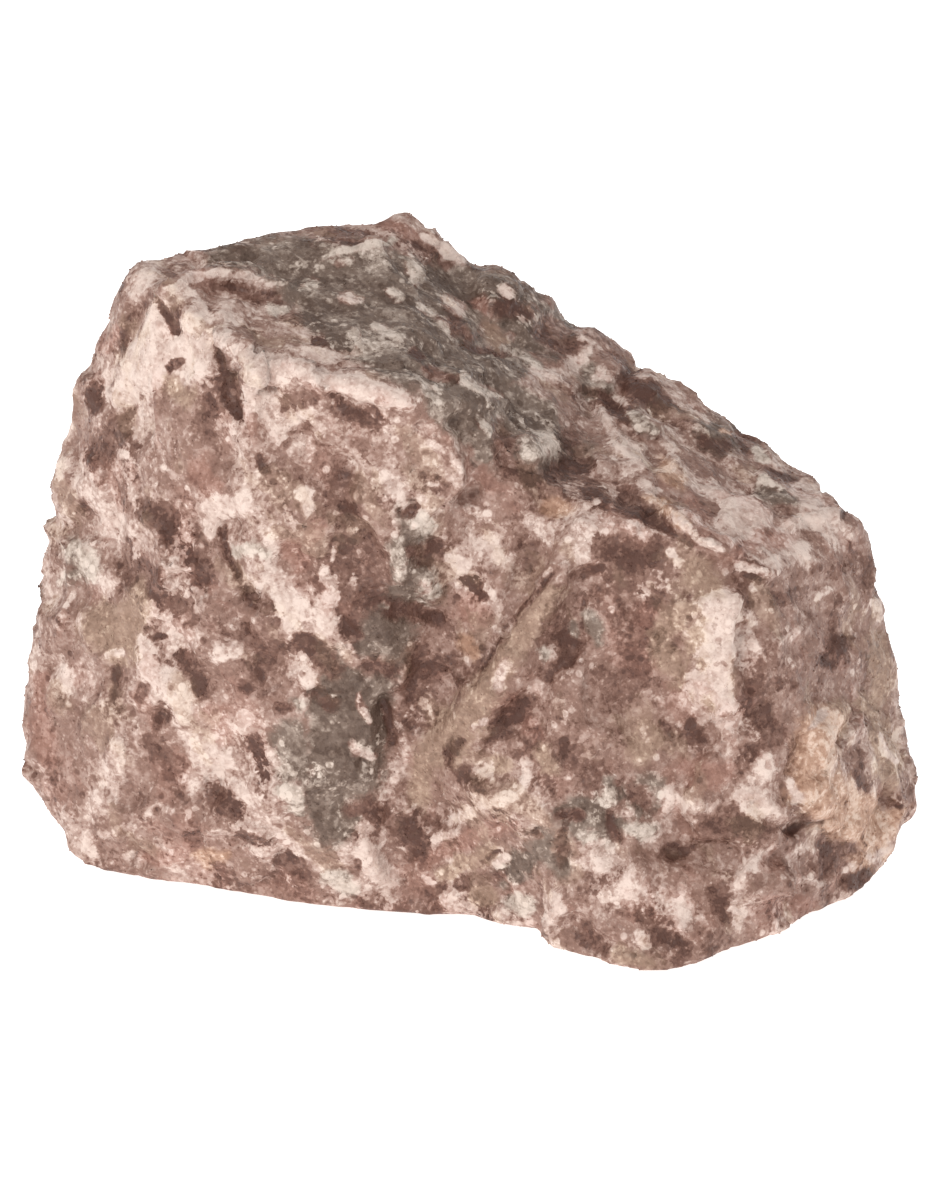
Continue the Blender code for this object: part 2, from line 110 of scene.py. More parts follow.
# Where each mineral shows, in the order in which they cover each other. A path's points are
# x, y and half width.
MARKS = (
    (Mineral.GREY, (
        # The top face.
        ((215, 258, 8), (260, 256, 16), (300, 262, 26)),
        ((310, 275, 36), (360, 300, 55), (420, 325, 62), (480, 345, 55)),
        ((440, 275, 14), (500, 295, 24), (550, 335, 24)),
        ((450, 395, 30), (510, 430, 44), (560, 440, 34)), ((590, 365, 14), (600, 395, 12)),
        # The dark band down the front.
        ((408, 512, 12), (420, 555, 16), (405, 600, 22), (385, 635, 28)),
        ((372, 655, 30), (350, 700, 42), (345, 760, 42), (330, 815, 26), (328, 835, 12)),
        ((290, 735, 18), (298, 775, 16)),
        # The dark cluster low in the middle.
        ((575, 815, 22), (605, 828, 18)), ((640, 798, 18), (652, 786, 12)),
        ((545, 848, 20), (560, 866, 12)), ((520, 862, 14), (500, 874, 10)),
        # Lower parts of the shoulder.
        ((715, 436, 20), (740, 440, 12)), ((770, 490, 12), (790, 500, 8)),
    )),
    (Mineral.MAUVE, (
        ((785, 600, 34), (800, 650, 52), (790, 700, 34)), ((835, 590, 34), (845, 650, 40)),
        ((690, 465, 12), (740, 472, 8)), ((565, 405, 12), (592, 432, 12)),
        ((435, 640, 14), (445, 655, 6)), ((375, 520, 12), (382, 536, 10)),
        ((590, 700, 24), (600, 740, 24)), ((75, 720, 20), (95, 742, 14)),
        ((140, 440, 14), (152, 462, 12)), ((700, 872, 16), (712, 892, 14)),
        ((765, 885, 14), (800, 885, 12)), ((85, 597, 8), (68, 612, 6)), ((600, 356, 10), (612, 362, 8)),
        ((745, 745, 12), (722, 732, 8)),
    )),
    (Mineral.RUST, (
        ((380, 216, 9), (402, 226, 11), (412, 236, 7)), ((108, 342, 11), (118, 336, 8)),
        ((200, 470, 14), (210, 488, 12)), ((290, 548, 12), (302, 562, 9)),
        ((316, 528, 8), (310, 540, 8)), ((478, 304, 8), (492, 316, 5)),
        ((690, 500, 9), (700, 516, 11), (706, 528, 7)), ((745, 545, 8), (762, 536, 8), (785, 541, 11)),
        ((650, 615, 12), (668, 620, 13), (662, 642, 14), (650, 654, 9)),
        ((690, 766, 12), (710, 776, 15), (728, 771, 10)), ((706, 795, 9), (690, 790, 7)),
        ((45, 680, 10), (38, 720, 12), (48, 755, 12)), ((215, 714, 13), (226, 734, 11)),
        ((150, 856, 9), (172, 858, 10), (192, 850, 8)), ((532, 730, 9), (538, 740, 7)),
        ((465, 602, 13), (480, 615, 12)), ((770, 905, 9), (792, 910, 11), (812, 904, 8)),
        ((430, 862, 6), (450, 850, 8), (472, 838, 9), (495, 826, 9), (512, 825, 7)),
        ((500, 690, 5), (516, 696, 4)),
    )),
    (Mineral.TAN, (
        ((690, 600, 12), (660, 640, 14), (690, 690, 12)),
        ((100, 625, 24), (122, 640, 22), (136, 612, 15), (142, 592, 11)),
        ((172, 384, 10), (184, 396, 11)), ((490, 330, 9), (502, 345, 8)),
        ((556, 585, 9), (538, 610, 12), (515, 645, 13), (490, 685, 15), (462, 722, 18), (442, 756, 15)),
        ((430, 742, 13), (420, 772, 13), (420, 802, 12)),
        ((700, 572, 13), (716, 584, 9), (690, 580, 8)),
        ((700, 630, 13), (705, 660, 24), (714, 690, 20)),
        ((836, 716, 13), (820, 742, 16), (808, 776, 19), (814, 800, 15)),
        ((878, 640, 10), (884, 680, 12), (868, 704, 12)), ((880, 725, 12), (892, 780, 12)),
        ((650, 738, 13), (640, 755, 12)), ((545, 755, 9), (552, 766, 8)),
        ((505, 766, 10), (498, 776, 6)), ((445, 876, 8), (470, 862, 8), (492, 850, 7)),
        ((475, 900, 9), (492, 896, 8)), ((620, 956, 9), (650, 963, 5)),
    )),
    (Mineral.OCHRE, (
        ((820, 725, 20), (812, 785, 26), (850, 815, 32), (872, 855, 22)),
        ((664, 468, 9), (674, 480, 8)), ((642, 496, 4), (662, 508, 7), (690, 527, 5)),
        ((552, 506, 10), (566, 509, 8)), ((462, 642, 9), (472, 652, 8)), ((720, 429, 3), (736, 436, 3)),
        ((826, 790, 13), (842, 782, 8)),
        ((868, 808, 15), (862, 832, 15), (886, 832, 11), (897, 808, 8)), ((205, 858, 8), (226, 855, 6)),
        ((830, 828, 6), (835, 838, 5)),
    )),
    (Mineral.MAROON, (
        # The top face and the shoulder.
        # The second path below runs in the groove under the lip, and its dark there is painted shadow.
        ((332, 233, 7), (352, 238, 9), (366, 240, 5)), ((212, 290, 7), (245, 292, 9), (276, 296, 6)),
        ((168, 270, 4), (182, 286, 4)), ((415, 244, 4), (432, 252, 4), (448, 265, 4)),
        ((500, 310, 9), (532, 312, 7)), ((455, 325, 8), (470, 336, 6)),
        ((548, 330, 14), (565, 345, 13)), ((625, 380, 9), (648, 394, 13), (660, 404, 9)),
        # The last path below runs in the groove under the ridge, and its dark there is painted shadow.
        ((740, 434, 8), (750, 450, 7)), ((628, 498, 12), (650, 515, 8), (672, 530, 7), (692, 541, 5)),
        ((590, 490, 9), (604, 500, 7)), ((765, 512, 2), (780, 508, 6), (790, 512, 5)),
        # The left face.
        ((148, 300, 4), (130, 322, 8), (128, 345, 5)), ((95, 393, 7), (90, 408, 7)),
        ((130, 405, 4), (120, 427, 11), (106, 446, 13), (98, 460, 10)),
        ((205, 402, 11), (200, 426, 12), (214, 440, 9)),
        ((145, 512, 12), (172, 518, 11), (168, 536, 7)),
        ((200, 535, 9), (202, 562, 13), (206, 578, 10)),
        ((145, 565, 9), (152, 582, 9), (164, 604, 9), (184, 602, 8)),
        ((192, 618, 7), (216, 622, 9), (222, 632, 7)), ((182, 655, 6), (196, 672, 8), (202, 692, 7)),
        ((115, 668, 5), (113, 690, 6)), ((142, 688, 7), (138, 697, 5)), ((164, 709, 8), (155, 726, 6)),
        ((150, 740, 9), (165, 756, 12), (182, 762, 9), (170, 772, 10)),
        ((178, 790, 8), (180, 820, 6), (196, 836, 9)), ((213, 800, 14), (230, 810, 11), (205, 816, 10)),
        ((112, 555, 3), (119, 564, 4)), ((145, 800, 6), (140, 795, 4)),
        # The front.
        ((250, 590, 9), (265, 610, 12), (272, 622, 7)),
        ((245, 630, 7), (265, 640, 12), (282, 651, 9), (262, 656, 7)),
        ((285, 400, 9), (306, 402, 9), (302, 425, 11)), ((340, 412, 8), (375, 418, 10)),
        ((300, 640, 8), (318, 652, 10), (334, 670, 9)), ((256, 670, 6), (262, 676, 4)),
        ((245, 690, 7), (240, 688, 5)), ((256, 745, 9), (262, 762, 9), (266, 776, 7)),
        ((352, 510, 9), (346, 506, 6)), ((345, 545, 9), (335, 540, 5)), ((350, 625, 8), (356, 633, 6)),
        ((425, 672, 8), (442, 664, 10)), ((350, 808, 8), (366, 806, 9), (380, 813, 8)),
        # The last path below and the one after it run in a groove, and their dark there is painted shade.
        ((405, 830, 11), (420, 846, 13), (410, 856, 9)), ((285, 858, 8), (301, 866, 9), (306, 876, 6)),
        ((238, 835, 5), (266, 843, 4)),
        # The ridges and the middle.
        ((470, 580, 8), (478, 589, 8)), ((520, 545, 8), (536, 550, 8), (528, 565, 8)),
        ((600, 545, 12), (622, 556, 15), (645, 558, 12), (660, 550, 7)),
        ((562, 642, 10), (570, 655, 10)), ((450, 755, 8), (461, 742, 6)),
        ((463, 770, 7), (475, 786, 6), (492, 791, 7), (506, 783, 8)),
        ((460, 885, 7), (485, 880, 8), (502, 874, 6)), ((430, 892, 9), (440, 890, 6)),
        # The right face and the foot.
        ((832, 574, 9), (852, 562, 13), (866, 582, 10)), ((775, 600, 9), (802, 592, 8)),
        ((842, 640, 9), (830, 660, 10)), ((768, 716, 13), (786, 742, 9), (788, 770, 4)),
        ((664, 724, 6), (676, 736, 8)), ((690, 730, 9), (704, 736, 7)), ((856, 760, 11), (862, 782, 9)),
        ((752, 750, 7), (742, 770, 7)), ((705, 828, 8), (735, 825, 10), (766, 821, 11), (792, 832, 6)),
        ((672, 850, 9), (692, 848, 8)), ((830, 855, 13), (846, 850, 9), (820, 866, 8)),
        ((716, 896, 11), (722, 912, 10)), ((850, 884, 9), (868, 875, 7)),
        ((658, 934, 8), (682, 945, 9)), ((590, 925, 7), (580, 936, 9), (602, 946, 9)),
        ((610, 873, 4), (606, 876, 3)),
    )),
    # Dark brown along most of the cracks and grooves of LEDGES: partly the dark mineral, partly painted
    # shade in those recesses.
    (Mineral.UMBER, (
        ((222, 350, 5), (228, 375, 7), (232, 400, 8), (238, 418, 4)),
        ((155, 297, 3), (166, 311, 4), (180, 333, 4)),
        ((224, 528, 4), (226, 546, 6), (233, 563, 5), (238, 576, 4)), ((80, 508, 6), (94, 522, 4)),
        ((118, 590, 4), (120, 582, 3)), ((158, 637, 4), (166, 637, 3)), ((284, 705, 7), (272, 708, 4)),
        ((158, 722, 4), (160, 716, 3)),
        ((503, 435, 9), (510, 466, 13), (546, 478, 9), (580, 460, 11), (570, 432, 8)),
        ((425, 366, 4), (446, 376, 5), (456, 378, 4)), ((415, 350, 4), (423, 355, 4)),
        ((316, 338, 4), (326, 342, 3)), ((465, 345, 3), (485, 350, 4), (500, 352, 3)),
        ((585, 388, 4), (608, 400, 6), (626, 416, 5), (642, 432, 4), (656, 439, 3)),
        ((700, 440, 7), (725, 446, 7)), ((765, 471, 3), (780, 476, 4), (796, 478, 3)),
        ((404, 512, 7), (414, 508, 6)), ((413, 552, 7), (434, 548, 8), (424, 564, 5)),
        ((372, 600, 8), (395, 610, 12), (425, 611, 11), (440, 615, 7)), ((375, 665, 13), (390, 668, 8)),
        ((318, 693, 7), (332, 702, 9)), ((384, 700, 4), (388, 720, 5), (389, 742, 4)),
        ((575, 574, 5), (598, 570, 5)), ((570, 654, 7), (552, 671, 5), (545, 681, 5)),
        ((526, 700, 7), (515, 715, 11), (500, 730, 11), (489, 742, 7)),
        ((552, 572, 3), (530, 598, 3), (506, 625, 3), (494, 648, 2), (484, 670, 2)),
        ((583, 600, 3), (582, 626, 3)), ((565, 745, 5), (566, 753, 4)), ((462, 738, 4), (458, 744, 3)),
        ((560, 812, 7), (576, 815, 6)), ((608, 815, 5), (613, 836, 7)), ((560, 835, 9), (562, 862, 7)),
        ((640, 795, 13), (646, 811, 7)), ((664, 728, 5), (669, 736, 4)), ((690, 722, 5), (686, 726, 3)),
        ((754, 807, 3), (775, 822, 4), (790, 831, 4), (802, 825, 4), (822, 823, 3)),
        ((670, 851, 6), (686, 853, 6)), ((292, 852, 3), (299, 861, 3)),
        ((738, 570, 2), (750, 575, 3), (763, 578, 2)),
    )),
    (Mineral.PINK, (
        ((325, 570, 6), (332, 590, 8), (322, 605, 8), (325, 630, 9)),
        # The top face and the shoulder.
        ((150, 272, 10), (138, 285, 9), (134, 300, 6)), ((182, 296, 9), (196, 310, 10), (190, 326, 8)),
        ((225, 305, 7), (238, 319, 6)), ((395, 213, 5), (415, 222, 7), (430, 233, 7)),
        ((448, 300, 7), (460, 310, 7)), ((590, 350, 4), (581, 362, 8), (560, 371, 7), (532, 380, 5)),
        ((600, 375, 7), (610, 381, 5)), ((672, 399, 4), (690, 410, 4), (708, 419, 3)),
        ((795, 490, 6), (815, 495, 8), (802, 501, 5)), ((800, 550, 9), (786, 561, 11), (770, 568, 7)),
        ((600, 522, 12), (612, 520, 9)), ((632, 524, 7), (646, 532, 7)),
        # The left face.
        ((188, 442, 9), (184, 436, 6)), ((165, 470, 6), (178, 476, 6)), ((70, 425, 7), (66, 440, 5)),
        ((110, 590, 8), (104, 580, 6)), ((195, 640, 9), (186, 630, 6)),
        ((105, 790, 11), (86, 806, 13), (100, 812, 9)), ((125, 520, 6), (130, 530, 6)),
        ((130, 860, 8), (145, 868, 5)), ((130, 830, 8), (110, 835, 7)),
        # The front.
        ((300, 450, 10), (308, 470, 5)), ((315, 410, 5), (280, 430, 7)),
        ((340, 450, 8), (375, 470, 9), (400, 500, 7)), ((265, 530, 9), (272, 552, 5)),
        ((295, 600, 13), (290, 620, 11), (280, 592, 6)), ((345, 648, 8), (353, 662, 8)),
        ((200, 745, 11), (216, 765, 15), (206, 755, 10)), ((350, 528, 5), (356, 527, 3)),
        ((400, 725, 5), (402, 760, 7), (395, 782, 6)), ((430, 455, 12), (470, 480, 10)),
        ((480, 545, 8), (500, 530, 7)),
        # The ridges and the middle.
        ((568, 566, 6), (556, 580, 6)), ((508, 664, 6), (500, 684, 8)), ((545, 530, 11), (530, 520, 7)),
        ((655, 574, 9), (648, 590, 9), (666, 585, 9)), ((484, 768, 6), (491, 776, 4)),
        ((534, 691, 6), (538, 684, 4)), ((560, 733, 7), (577, 700, 4)), ((590, 735, 5), (612, 720, 4)),
        ((450, 790, 8), (440, 800, 6)),
        # The right face and the foot.
        ((745, 610, 6), (751, 620, 4)), ((785, 636, 8), (801, 628, 5)), ((794, 604, 3), (801, 613, 4)),
        ((845, 610, 4), (855, 632, 5)), ((792, 667, 6), (800, 662, 4)),
        ((745, 800, 11), (766, 806, 13), (782, 817, 10)), ((768, 752, 5), (770, 775, 6)),
        ((715, 801, 9), (690, 809, 8)), ((575, 863, 8), (592, 860, 10), (606, 870, 7)),
        ((640, 871, 9), (638, 887, 13), (618, 894, 12)),
        ((772, 842, 6), (756, 855, 6), (745, 871, 6), (738, 885, 5)), ((737, 908, 9), (740, 926, 6)),
        ((690, 890, 7), (681, 905, 9), (686, 925, 7)), ((800, 852, 6), (815, 856, 4)),
        ((870, 860, 6), (880, 866, 5)), ((800, 880, 4), (822, 884, 4)), ((650, 740, 4), (640, 720, 5)),
        ((700, 650, 4), (680, 700, 7), (660, 700, 6)),
    )),
    (Mineral.QUARTZ, (
        # The top face and the shoulder.
        ((326, 260, 3), (346, 250, 4), (380, 245, 4), (396, 241, 3)), ((410, 263, 6), (418, 275, 9)),
        ((308, 285, 6), (316, 284, 6)), ((272, 308, 6), (286, 307, 6)), ((340, 265, 4), (351, 262, 4)),
        ((392, 290, 4), (400, 298, 5)), ((376, 324, 4), (394, 332, 4), (404, 338, 3)),
        ((420, 303, 3), (435, 313, 3), (450, 330, 3)), ((503, 346, 4), (524, 358, 5), (540, 366, 4)),
        ((463, 377, 5), (481, 388, 5), (499, 399, 4)), ((436, 386, 4), (446, 381, 3)),
        ((528, 440, 8), (540, 450, 11), (546, 440, 8), (556, 447, 4)), ((480, 420, 4), (491, 433, 4)),
        ((634, 414, 8), (645, 424, 9), (656, 431, 5)), ((763, 479, 4), (781, 487, 4)),
        ((755, 451, 6), (764, 458, 6)), ((355, 330, 4), (362, 345, 3)),
        # The left face and the front.
        ((75, 553, 15), (86, 570, 11), (66, 580, 8)), ((240, 550, 7), (256, 548, 8), (264, 552, 5)),
        ((420, 520, 9), (432, 528, 7), (426, 535, 7)), ((398, 547, 7), (402, 560, 9), (398, 576, 7)),
        ((425, 580, 11), (432, 590, 10)), ((382, 607, 5), (386, 609, 3)),
        ((335, 695, 4), (330, 692, 3)), ((300, 706, 8), (295, 700, 6)),
        ((280, 790, 7), (295, 795, 11), (301, 810, 7)), ((330, 876, 8), (341, 881, 9), (352, 891, 7)),
        # The middle and the foot.
        ((588, 611, 7), (595, 625, 8), (600, 641, 6)), ((572, 624, 5), (575, 636, 4)),
        ((545, 655, 6), (541, 650, 4)), ((610, 785, 7), (612, 800, 8), (601, 796, 5)),
        ((588, 838, 7), (580, 834, 4)), ((630, 830, 7), (650, 829, 7), (640, 836, 5)),
        ((515, 905, 10), (530, 910, 8)),
    )),
    (Mineral.CREAM, (
        ((361, 696, 3), (365, 708, 4), (368, 720, 3)), ((404, 668, 3), (401, 680, 4)),
        # The edge of the top face.
        ((290, 350, 7), (330, 355, 7)), ((195, 309, 5), (203, 312, 5)),
        # The rest of the top face.
        ((340, 300, 3), (352, 298, 5), (361, 300, 3)), ((425, 238, 4), (445, 248, 6), (462, 258, 4)),
        ((505, 292, 5), (512, 297, 6)), ((511, 338, 5), (508, 335, 3)),
        # The shoulder.
        ((598, 400, 3), (606, 415, 4), (612, 432, 4), (618, 441, 4)), ((616, 397, 3), (626, 402, 4)),
        ((660, 443, 3), (675, 448, 4), (684, 452, 2)), ((624, 445, 7), (641, 450, 5)),
        ((631, 466, 9), (642, 461, 8)), ((640, 482, 5), (656, 491, 4)),
        ((712, 488, 6), (722, 496, 6), (728, 504, 6)), ((735, 531, 6), (750, 530, 5)),
        ((738, 563, 5), (756, 568, 5), (778, 573, 3)), ((597, 500, 4), (594, 498, 3)),
        # The left face.
        ((175, 352, 13), (195, 346, 11), (200, 370, 12)), ((122, 453, 4), (126, 457, 3)),
        ((63, 463, 6), (60, 480, 4)), ((215, 508, 10), (244, 504, 11)), ((210, 530, 7), (212, 520, 6)),
        ((70, 596, 3), (64, 606, 3)), ((100, 655, 3), (121, 653, 4)),
        ((225, 655, 12), (240, 650, 7), (215, 662, 7)), ((68, 665, 3), (68, 680, 7), (65, 690, 4)),
        ((120, 742, 7), (118, 760, 12), (122, 776, 7)), ((150, 812, 5), (160, 807, 4), (170, 812, 3)),
        ((86, 834, 5), (91, 846, 7), (96, 856, 4)),
        # The front.
        ((245, 718, 7), (240, 729, 5)), ((214, 764, 8), (224, 758, 6)),
        ((232, 783, 5), (245, 793, 5), (251, 798, 3)), ((305, 494, 9), (311, 510, 7)),
        ((335, 548, 3), (334, 558, 3)), ((352, 578, 5), (355, 574, 3)), ((310, 680, 8), (304, 671, 5)),
        ((352, 741, 4), (356, 749, 6), (369, 755, 5)), ((415, 528, 4), (418, 524, 3)),
        ((428, 588, 4), (424, 584, 3)), ((440, 450, 5), (432, 444, 4)),
        # The ridges and the middle.
        ((470, 508, 6), (486, 515, 6)), ((450, 560, 6), (461, 567, 6), (470, 562, 4)),
        ((490, 545, 8), (500, 558, 7)), ((492, 590, 3), (494, 600, 3)), ((553, 540, 5), (550, 536, 4)),
        ((475, 725, 4), (486, 722, 4)), ((530, 764, 6), (525, 780, 4), (520, 796, 4)),
        ((515, 796, 5), (500, 801, 7), (480, 806, 4)), ((455, 820, 7), (472, 812, 5)),
        ((460, 830, 5), (440, 837, 4)), ((496, 862, 5), (506, 858, 4)), ((425, 880, 3), (433, 885, 3)),
        ((556, 895, 5), (560, 910, 5), (548, 922, 5)), ((590, 845, 3), (601, 843, 3)),
        # The right face and the foot.
        ((670, 555, 4), (681, 564, 5)), ((714, 713, 4), (735, 705, 5)), ((750, 585, 4), (757, 592, 3)),
        ((820, 601, 5), (825, 592, 4)), ((750, 641, 5), (755, 650, 4)), ((876, 600, 5), (880, 616, 4)),
        ((822, 714, 4), (812, 726, 3)), ((880, 734, 3), (886, 751, 4), (896, 761, 4)),
        ((790, 780, 4), (800, 800, 7)), ((740, 796, 5), (760, 793, 4)),
        ((671, 789, 4), (673, 800, 5), (665, 812, 4)), ((640, 934, 5), (645, 946, 6)),
        ((875, 856, 5), (890, 846, 4)),
    )),
    (Mineral.VEIN, (
        ((250, 352, 6), (275, 358, 8), (300, 366, 7)),
        ((222, 334, 5), (240, 346, 7), (254, 366, 9), (290, 370, 9), (330, 380, 10), (375, 390, 11),
         (408, 398, 8)),
        ((252, 366, 9), (256, 390, 10), (250, 415, 6)),
        ((170, 289, 4), (190, 279, 5), (216, 274, 4), (252, 278, 3), (286, 283, 2)),
        ((155, 318, 8), (150, 345, 15), (140, 375, 20), (120, 396, 13)),
        ((730, 516, 12), (746, 510, 13), (762, 516, 9)), ((788, 526, 7), (810, 520, 7), (832, 515, 7)),
        ((705, 606, 9), (722, 606, 13), (720, 640, 15), (714, 670, 13), (722, 700, 8)),
        ((690, 680, 7), (698, 692, 10)), ((365, 840, 7), (368, 860, 9), (382, 876, 11), (396, 882, 7)),
        ((145, 650, 10), (151, 670, 12), (170, 682, 11), (181, 700, 9), (186, 716, 7)),
        ((672, 514, 3), (690, 530, 4), (706, 540, 5), (722, 546, 4)),
    )),
    (Mineral.UMBER, (
        ((157, 811, 3), (158, 808, 3)), ((688, 593, 3), (690, 596, 3)), ((485, 767, 2), (486, 769, 2)),
        ((843, 516, 4), (840, 513, 3)), ((895, 802, 4), (900, 806, 3)),
        ((480, 862, 2), (490, 855, 2), (499, 849, 2)), ((170, 368, 4), (184, 358, 3)),
        ((357, 858, 3), (357, 873, 3)), ((262, 454, 4), (268, 470, 4)), ((535, 831, 4), (540, 834, 3)),
    )),
)


# Where a trend holds, how strongly, and how far in pixels it takes to fade out. A path's points
# are x, y and half width.
TRENDS = (
    (Trend.PALE, 0.5, 30, ((150, 290, 20), (200, 280, 25), (270, 300, 15))),
    (Trend.PALE, 0.6, 30, ((790, 500, 25), (850, 540, 20))),
    (Trend.PALE, 0.6, 30, ((330, 880, 20), (390, 870, 25))),
    (Trend.PALE, -0.9, 40, ((460, 630, 40), (430, 730, 50), (440, 800, 20))),
    (Trend.PALE, -0.4, 30, ((440, 840, 30), (540, 870, 30), (600, 910, 20))),
    (Trend.PALE, 0.3, 40, ((140, 320, 40), (110, 420, 40), (100, 560, 60), (130, 700, 50))),
    (Trend.PALE, 0.3, 30, ((230, 370, 25), (300, 390, 30), (400, 410, 25))),
    (Trend.PALE, 0.1, 40, ((260, 480, 50), (340, 500, 40), (420, 470, 30))),
    (Trend.PALE, 0.3, 40, ((230, 600, 40), (300, 600, 20))),
    (Trend.PALE, 0.6, 30, ((640, 470, 30), (720, 510, 35), (810, 535, 25))),
    (Trend.PALE, 0.5, 30, ((700, 600, 25), (705, 690, 25))),
    (Trend.PALE, 0.5, 30, ((860, 710, 30), (810, 780, 30), (860, 820, 30))),
    (Trend.PALE, 0.2, 40, ((90, 790, 40), (210, 800, 30), (340, 860, 30), (480, 860, 40))),
    (Trend.PALE, 0.2, 30, ((600, 880, 30), (680, 910, 30))),
    (Trend.PALE, -1.3, 50, ((560, 620, 40), (640, 600, 40), (640, 680, 40), (590, 750, 50))),
    (Trend.PALE, -0.7, 40, ((400, 520, 30), (400, 620, 50), (340, 760, 50))),
    (Trend.PALE, -0.6, 40, ((770, 610, 40), (830, 650, 40), (760, 700, 30))),
    (Trend.PALE, -0.5, 40, ((720, 840, 30), (820, 870, 30), (700, 890, 20))),
    (Trend.PALE, -0.3, 30, ((150, 530, 30), (200, 580, 30), (180, 800, 30))),
    (Trend.PALE, -0.4, 30, ((370, 540, 30), (350, 620, 30))),
    (Trend.ROSY, 0.7, 40, ((170, 520, 40), (180, 620, 30), (120, 700, 40))),
    (Trend.ROSY, 0.6, 40, ((640, 560, 30), (700, 760, 40), (600, 750, 40))),
    (Trend.ROSY, 0.5, 30, ((340, 520, 30), (310, 420, 30))),
    (Trend.ROSY, 0.6, 40, ((180, 850, 30), (420, 870, 20), (760, 900, 40))),
    (Trend.ROSY, -0.7, 40, ((330, 290, 60), (470, 350, 80), (560, 430, 40))),
    (Trend.ROSY, -0.7, 40, ((400, 560, 30), (360, 700, 50), (340, 810, 30))),
    (Trend.ROSY, -0.5, 40, ((560, 850, 40), (640, 810, 40))),
)

# Ridges that stand out, and cracks that go in, with their heights in millimetres. A path's points
# are x, y and half width.
LEDGES = (
    (0.9, ((500, 284, 24), (532, 302, 24))), (1.0, ((596, 346, 20), (636, 380, 22))),
    (0.7, ((66, 490, 16), (68, 506, 14))), (-0.9, ((40, 555, 22), (44, 590, 18))),
    (0.55, ((218, 332, 5), (240, 348, 8), (256, 368, 9), (292, 372, 9), (332, 384, 9), (375, 394, 9),
            (410, 400, 6))),
    (0.4, ((256, 372, 7), (256, 392, 8), (250, 418, 5))),
    (0.4, ((168, 290, 4), (190, 280, 5), (216, 275, 5), (252, 279, 4), (286, 284, 2))),
    (-0.29, ((214, 290, 4), (245, 292, 5), (276, 297, 3))),
    (-0.39, ((222, 348, 5), (228, 375, 7), (232, 402, 7), (240, 420, 4))),
    (-0.26, ((155, 297, 3), (166, 311, 4), (180, 333, 3))),
    (0.4, ((155, 318, 8), (150, 345, 13), (140, 375, 16), (120, 396, 10))),
    (-0.29, ((224, 528, 4), (226, 546, 6), (233, 563, 5), (240, 578, 4))),
    (-0.26, ((284, 705, 7), (272, 708, 4))),
    (-0.29, ((503, 435, 9), (512, 466, 12), (546, 480, 9), (580, 462, 10), (572, 432, 7))),
    (0.5, ((528, 440, 7), (541, 450, 11), (552, 442, 7))),
    (-0.26, ((585, 388, 4), (608, 400, 6), (626, 416, 5), (642, 432, 4), (656, 439, 3))),
    (0.45, ((600, 402, 4), (612, 432, 5), (618, 443, 4))),
    (0.5, ((628, 420, 7), (645, 426, 8), (656, 431, 5))), (-0.33, ((404, 512, 7), (414, 508, 6))),
    (-0.29, ((413, 552, 7), (434, 548, 8), (424, 564, 5))),
    (-0.29, ((372, 600, 8), (395, 612, 10), (425, 612, 10), (440, 617, 7))),
    (0.45, ((425, 582, 9), (432, 592, 9))), (-0.29, ((318, 693, 7), (332, 702, 9))),
    (-0.2, ((384, 698, 4), (388, 720, 5), (390, 742, 5))),
    (0.1, ((405, 665, 5), (400, 695, 5), (402, 740, 6), (396, 772, 6))),
    (0.08, ((359, 688, 4), (364, 708, 5), (370, 732, 4))),
    (0.35, ((564, 572, 8), (544, 605, 12), (520, 645, 13), (494, 685, 14), (466, 720, 14))),
    (-0.2, ((550, 574, 4), (529, 600, 4), (505, 627, 4), (484, 670, 4))),
    (0.4, ((516, 538, 6), (508, 565, 6), (498, 592, 5))),
    (-0.2, ((570, 654, 7), (552, 671, 6), (545, 683, 5))),
    (-0.25, ((526, 700, 7), (515, 715, 10), (500, 730, 10), (489, 744, 7))),
    (-0.15, ((575, 575, 6), (600, 571, 6))), (-0.29, ((560, 812, 7), (576, 815, 6))),
    (-0.33, ((608, 815, 5), (613, 838, 7))), (-0.33, ((560, 837, 8), (562, 862, 7))),
    (-0.36, ((640, 797, 12), (647, 812, 7))), (0.45, ((610, 787, 7), (613, 802, 7))),
    (0.45, ((632, 831, 6), (650, 830, 6))), (-0.26, ((664, 728, 5), (670, 738, 4))),
    (0.5, ((735, 600, 5), (728, 640, 6), (726, 662, 5), (738, 690, 6), (730, 706, 6), (714, 714, 4))),
    (-0.26, ((742, 604, 4), (736, 642, 5), (736, 662, 4), (748, 690, 5))),
    (0.55, ((834, 716, 9), (820, 742, 12), (808, 776, 14), (816, 802, 12))),
    (-0.33, ((820, 714, 4), (804, 742, 5), (790, 776, 5))),
    (-0.36, ((752, 806, 4), (775, 824, 5), (790, 832, 5), (804, 828, 4), (822, 824, 4))),
    (0.4, ((672, 512, 4), (690, 530, 5), (708, 541, 5), (724, 547, 4))),
    (-0.33, ((628, 500, 6), (650, 516, 5), (672, 532, 5), (692, 544, 4))),
    (0.4, ((728, 514, 9), (746, 510, 10), (762, 516, 8))),
    (0.35, ((788, 526, 6), (810, 520, 6), (832, 515, 6))), (-0.26, ((670, 852, 6), (686, 854, 6))),
    (-0.26, ((238, 836, 5), (266, 845, 5), (290, 860, 6), (306, 876, 6))),
    (0.4, ((365, 840, 7), (368, 860, 9), (382, 876, 10), (396, 882, 7))),
    (0.35, ((118, 742, 6), (116, 762, 9), (122, 778, 6))),
    (0.35, ((146, 652, 8), (152, 672, 10), (172, 684, 9), (184, 712, 6))),
    (-0.23, ((118, 590, 4), (120, 582, 3))), (-0.26, ((158, 722, 4), (160, 714, 4))),
    (-0.23, ((80, 508, 5), (94, 524, 4))),
)


def linear(shown: tuple) -> tuple:
    """A colour as a shader takes it.

    Args:
        shown: Its red, green and blue as a screen shows them, from 0 to 255.

    Returns:
        The linear colour with an alpha of 1.
    """
    shares = [value / 255.0 for value in shown]
    return tuple(s / 12.92 if s <= 0.04045 else ((s + 0.055) / 1.055) ** 2.4 for s in shares) + (1.0,)


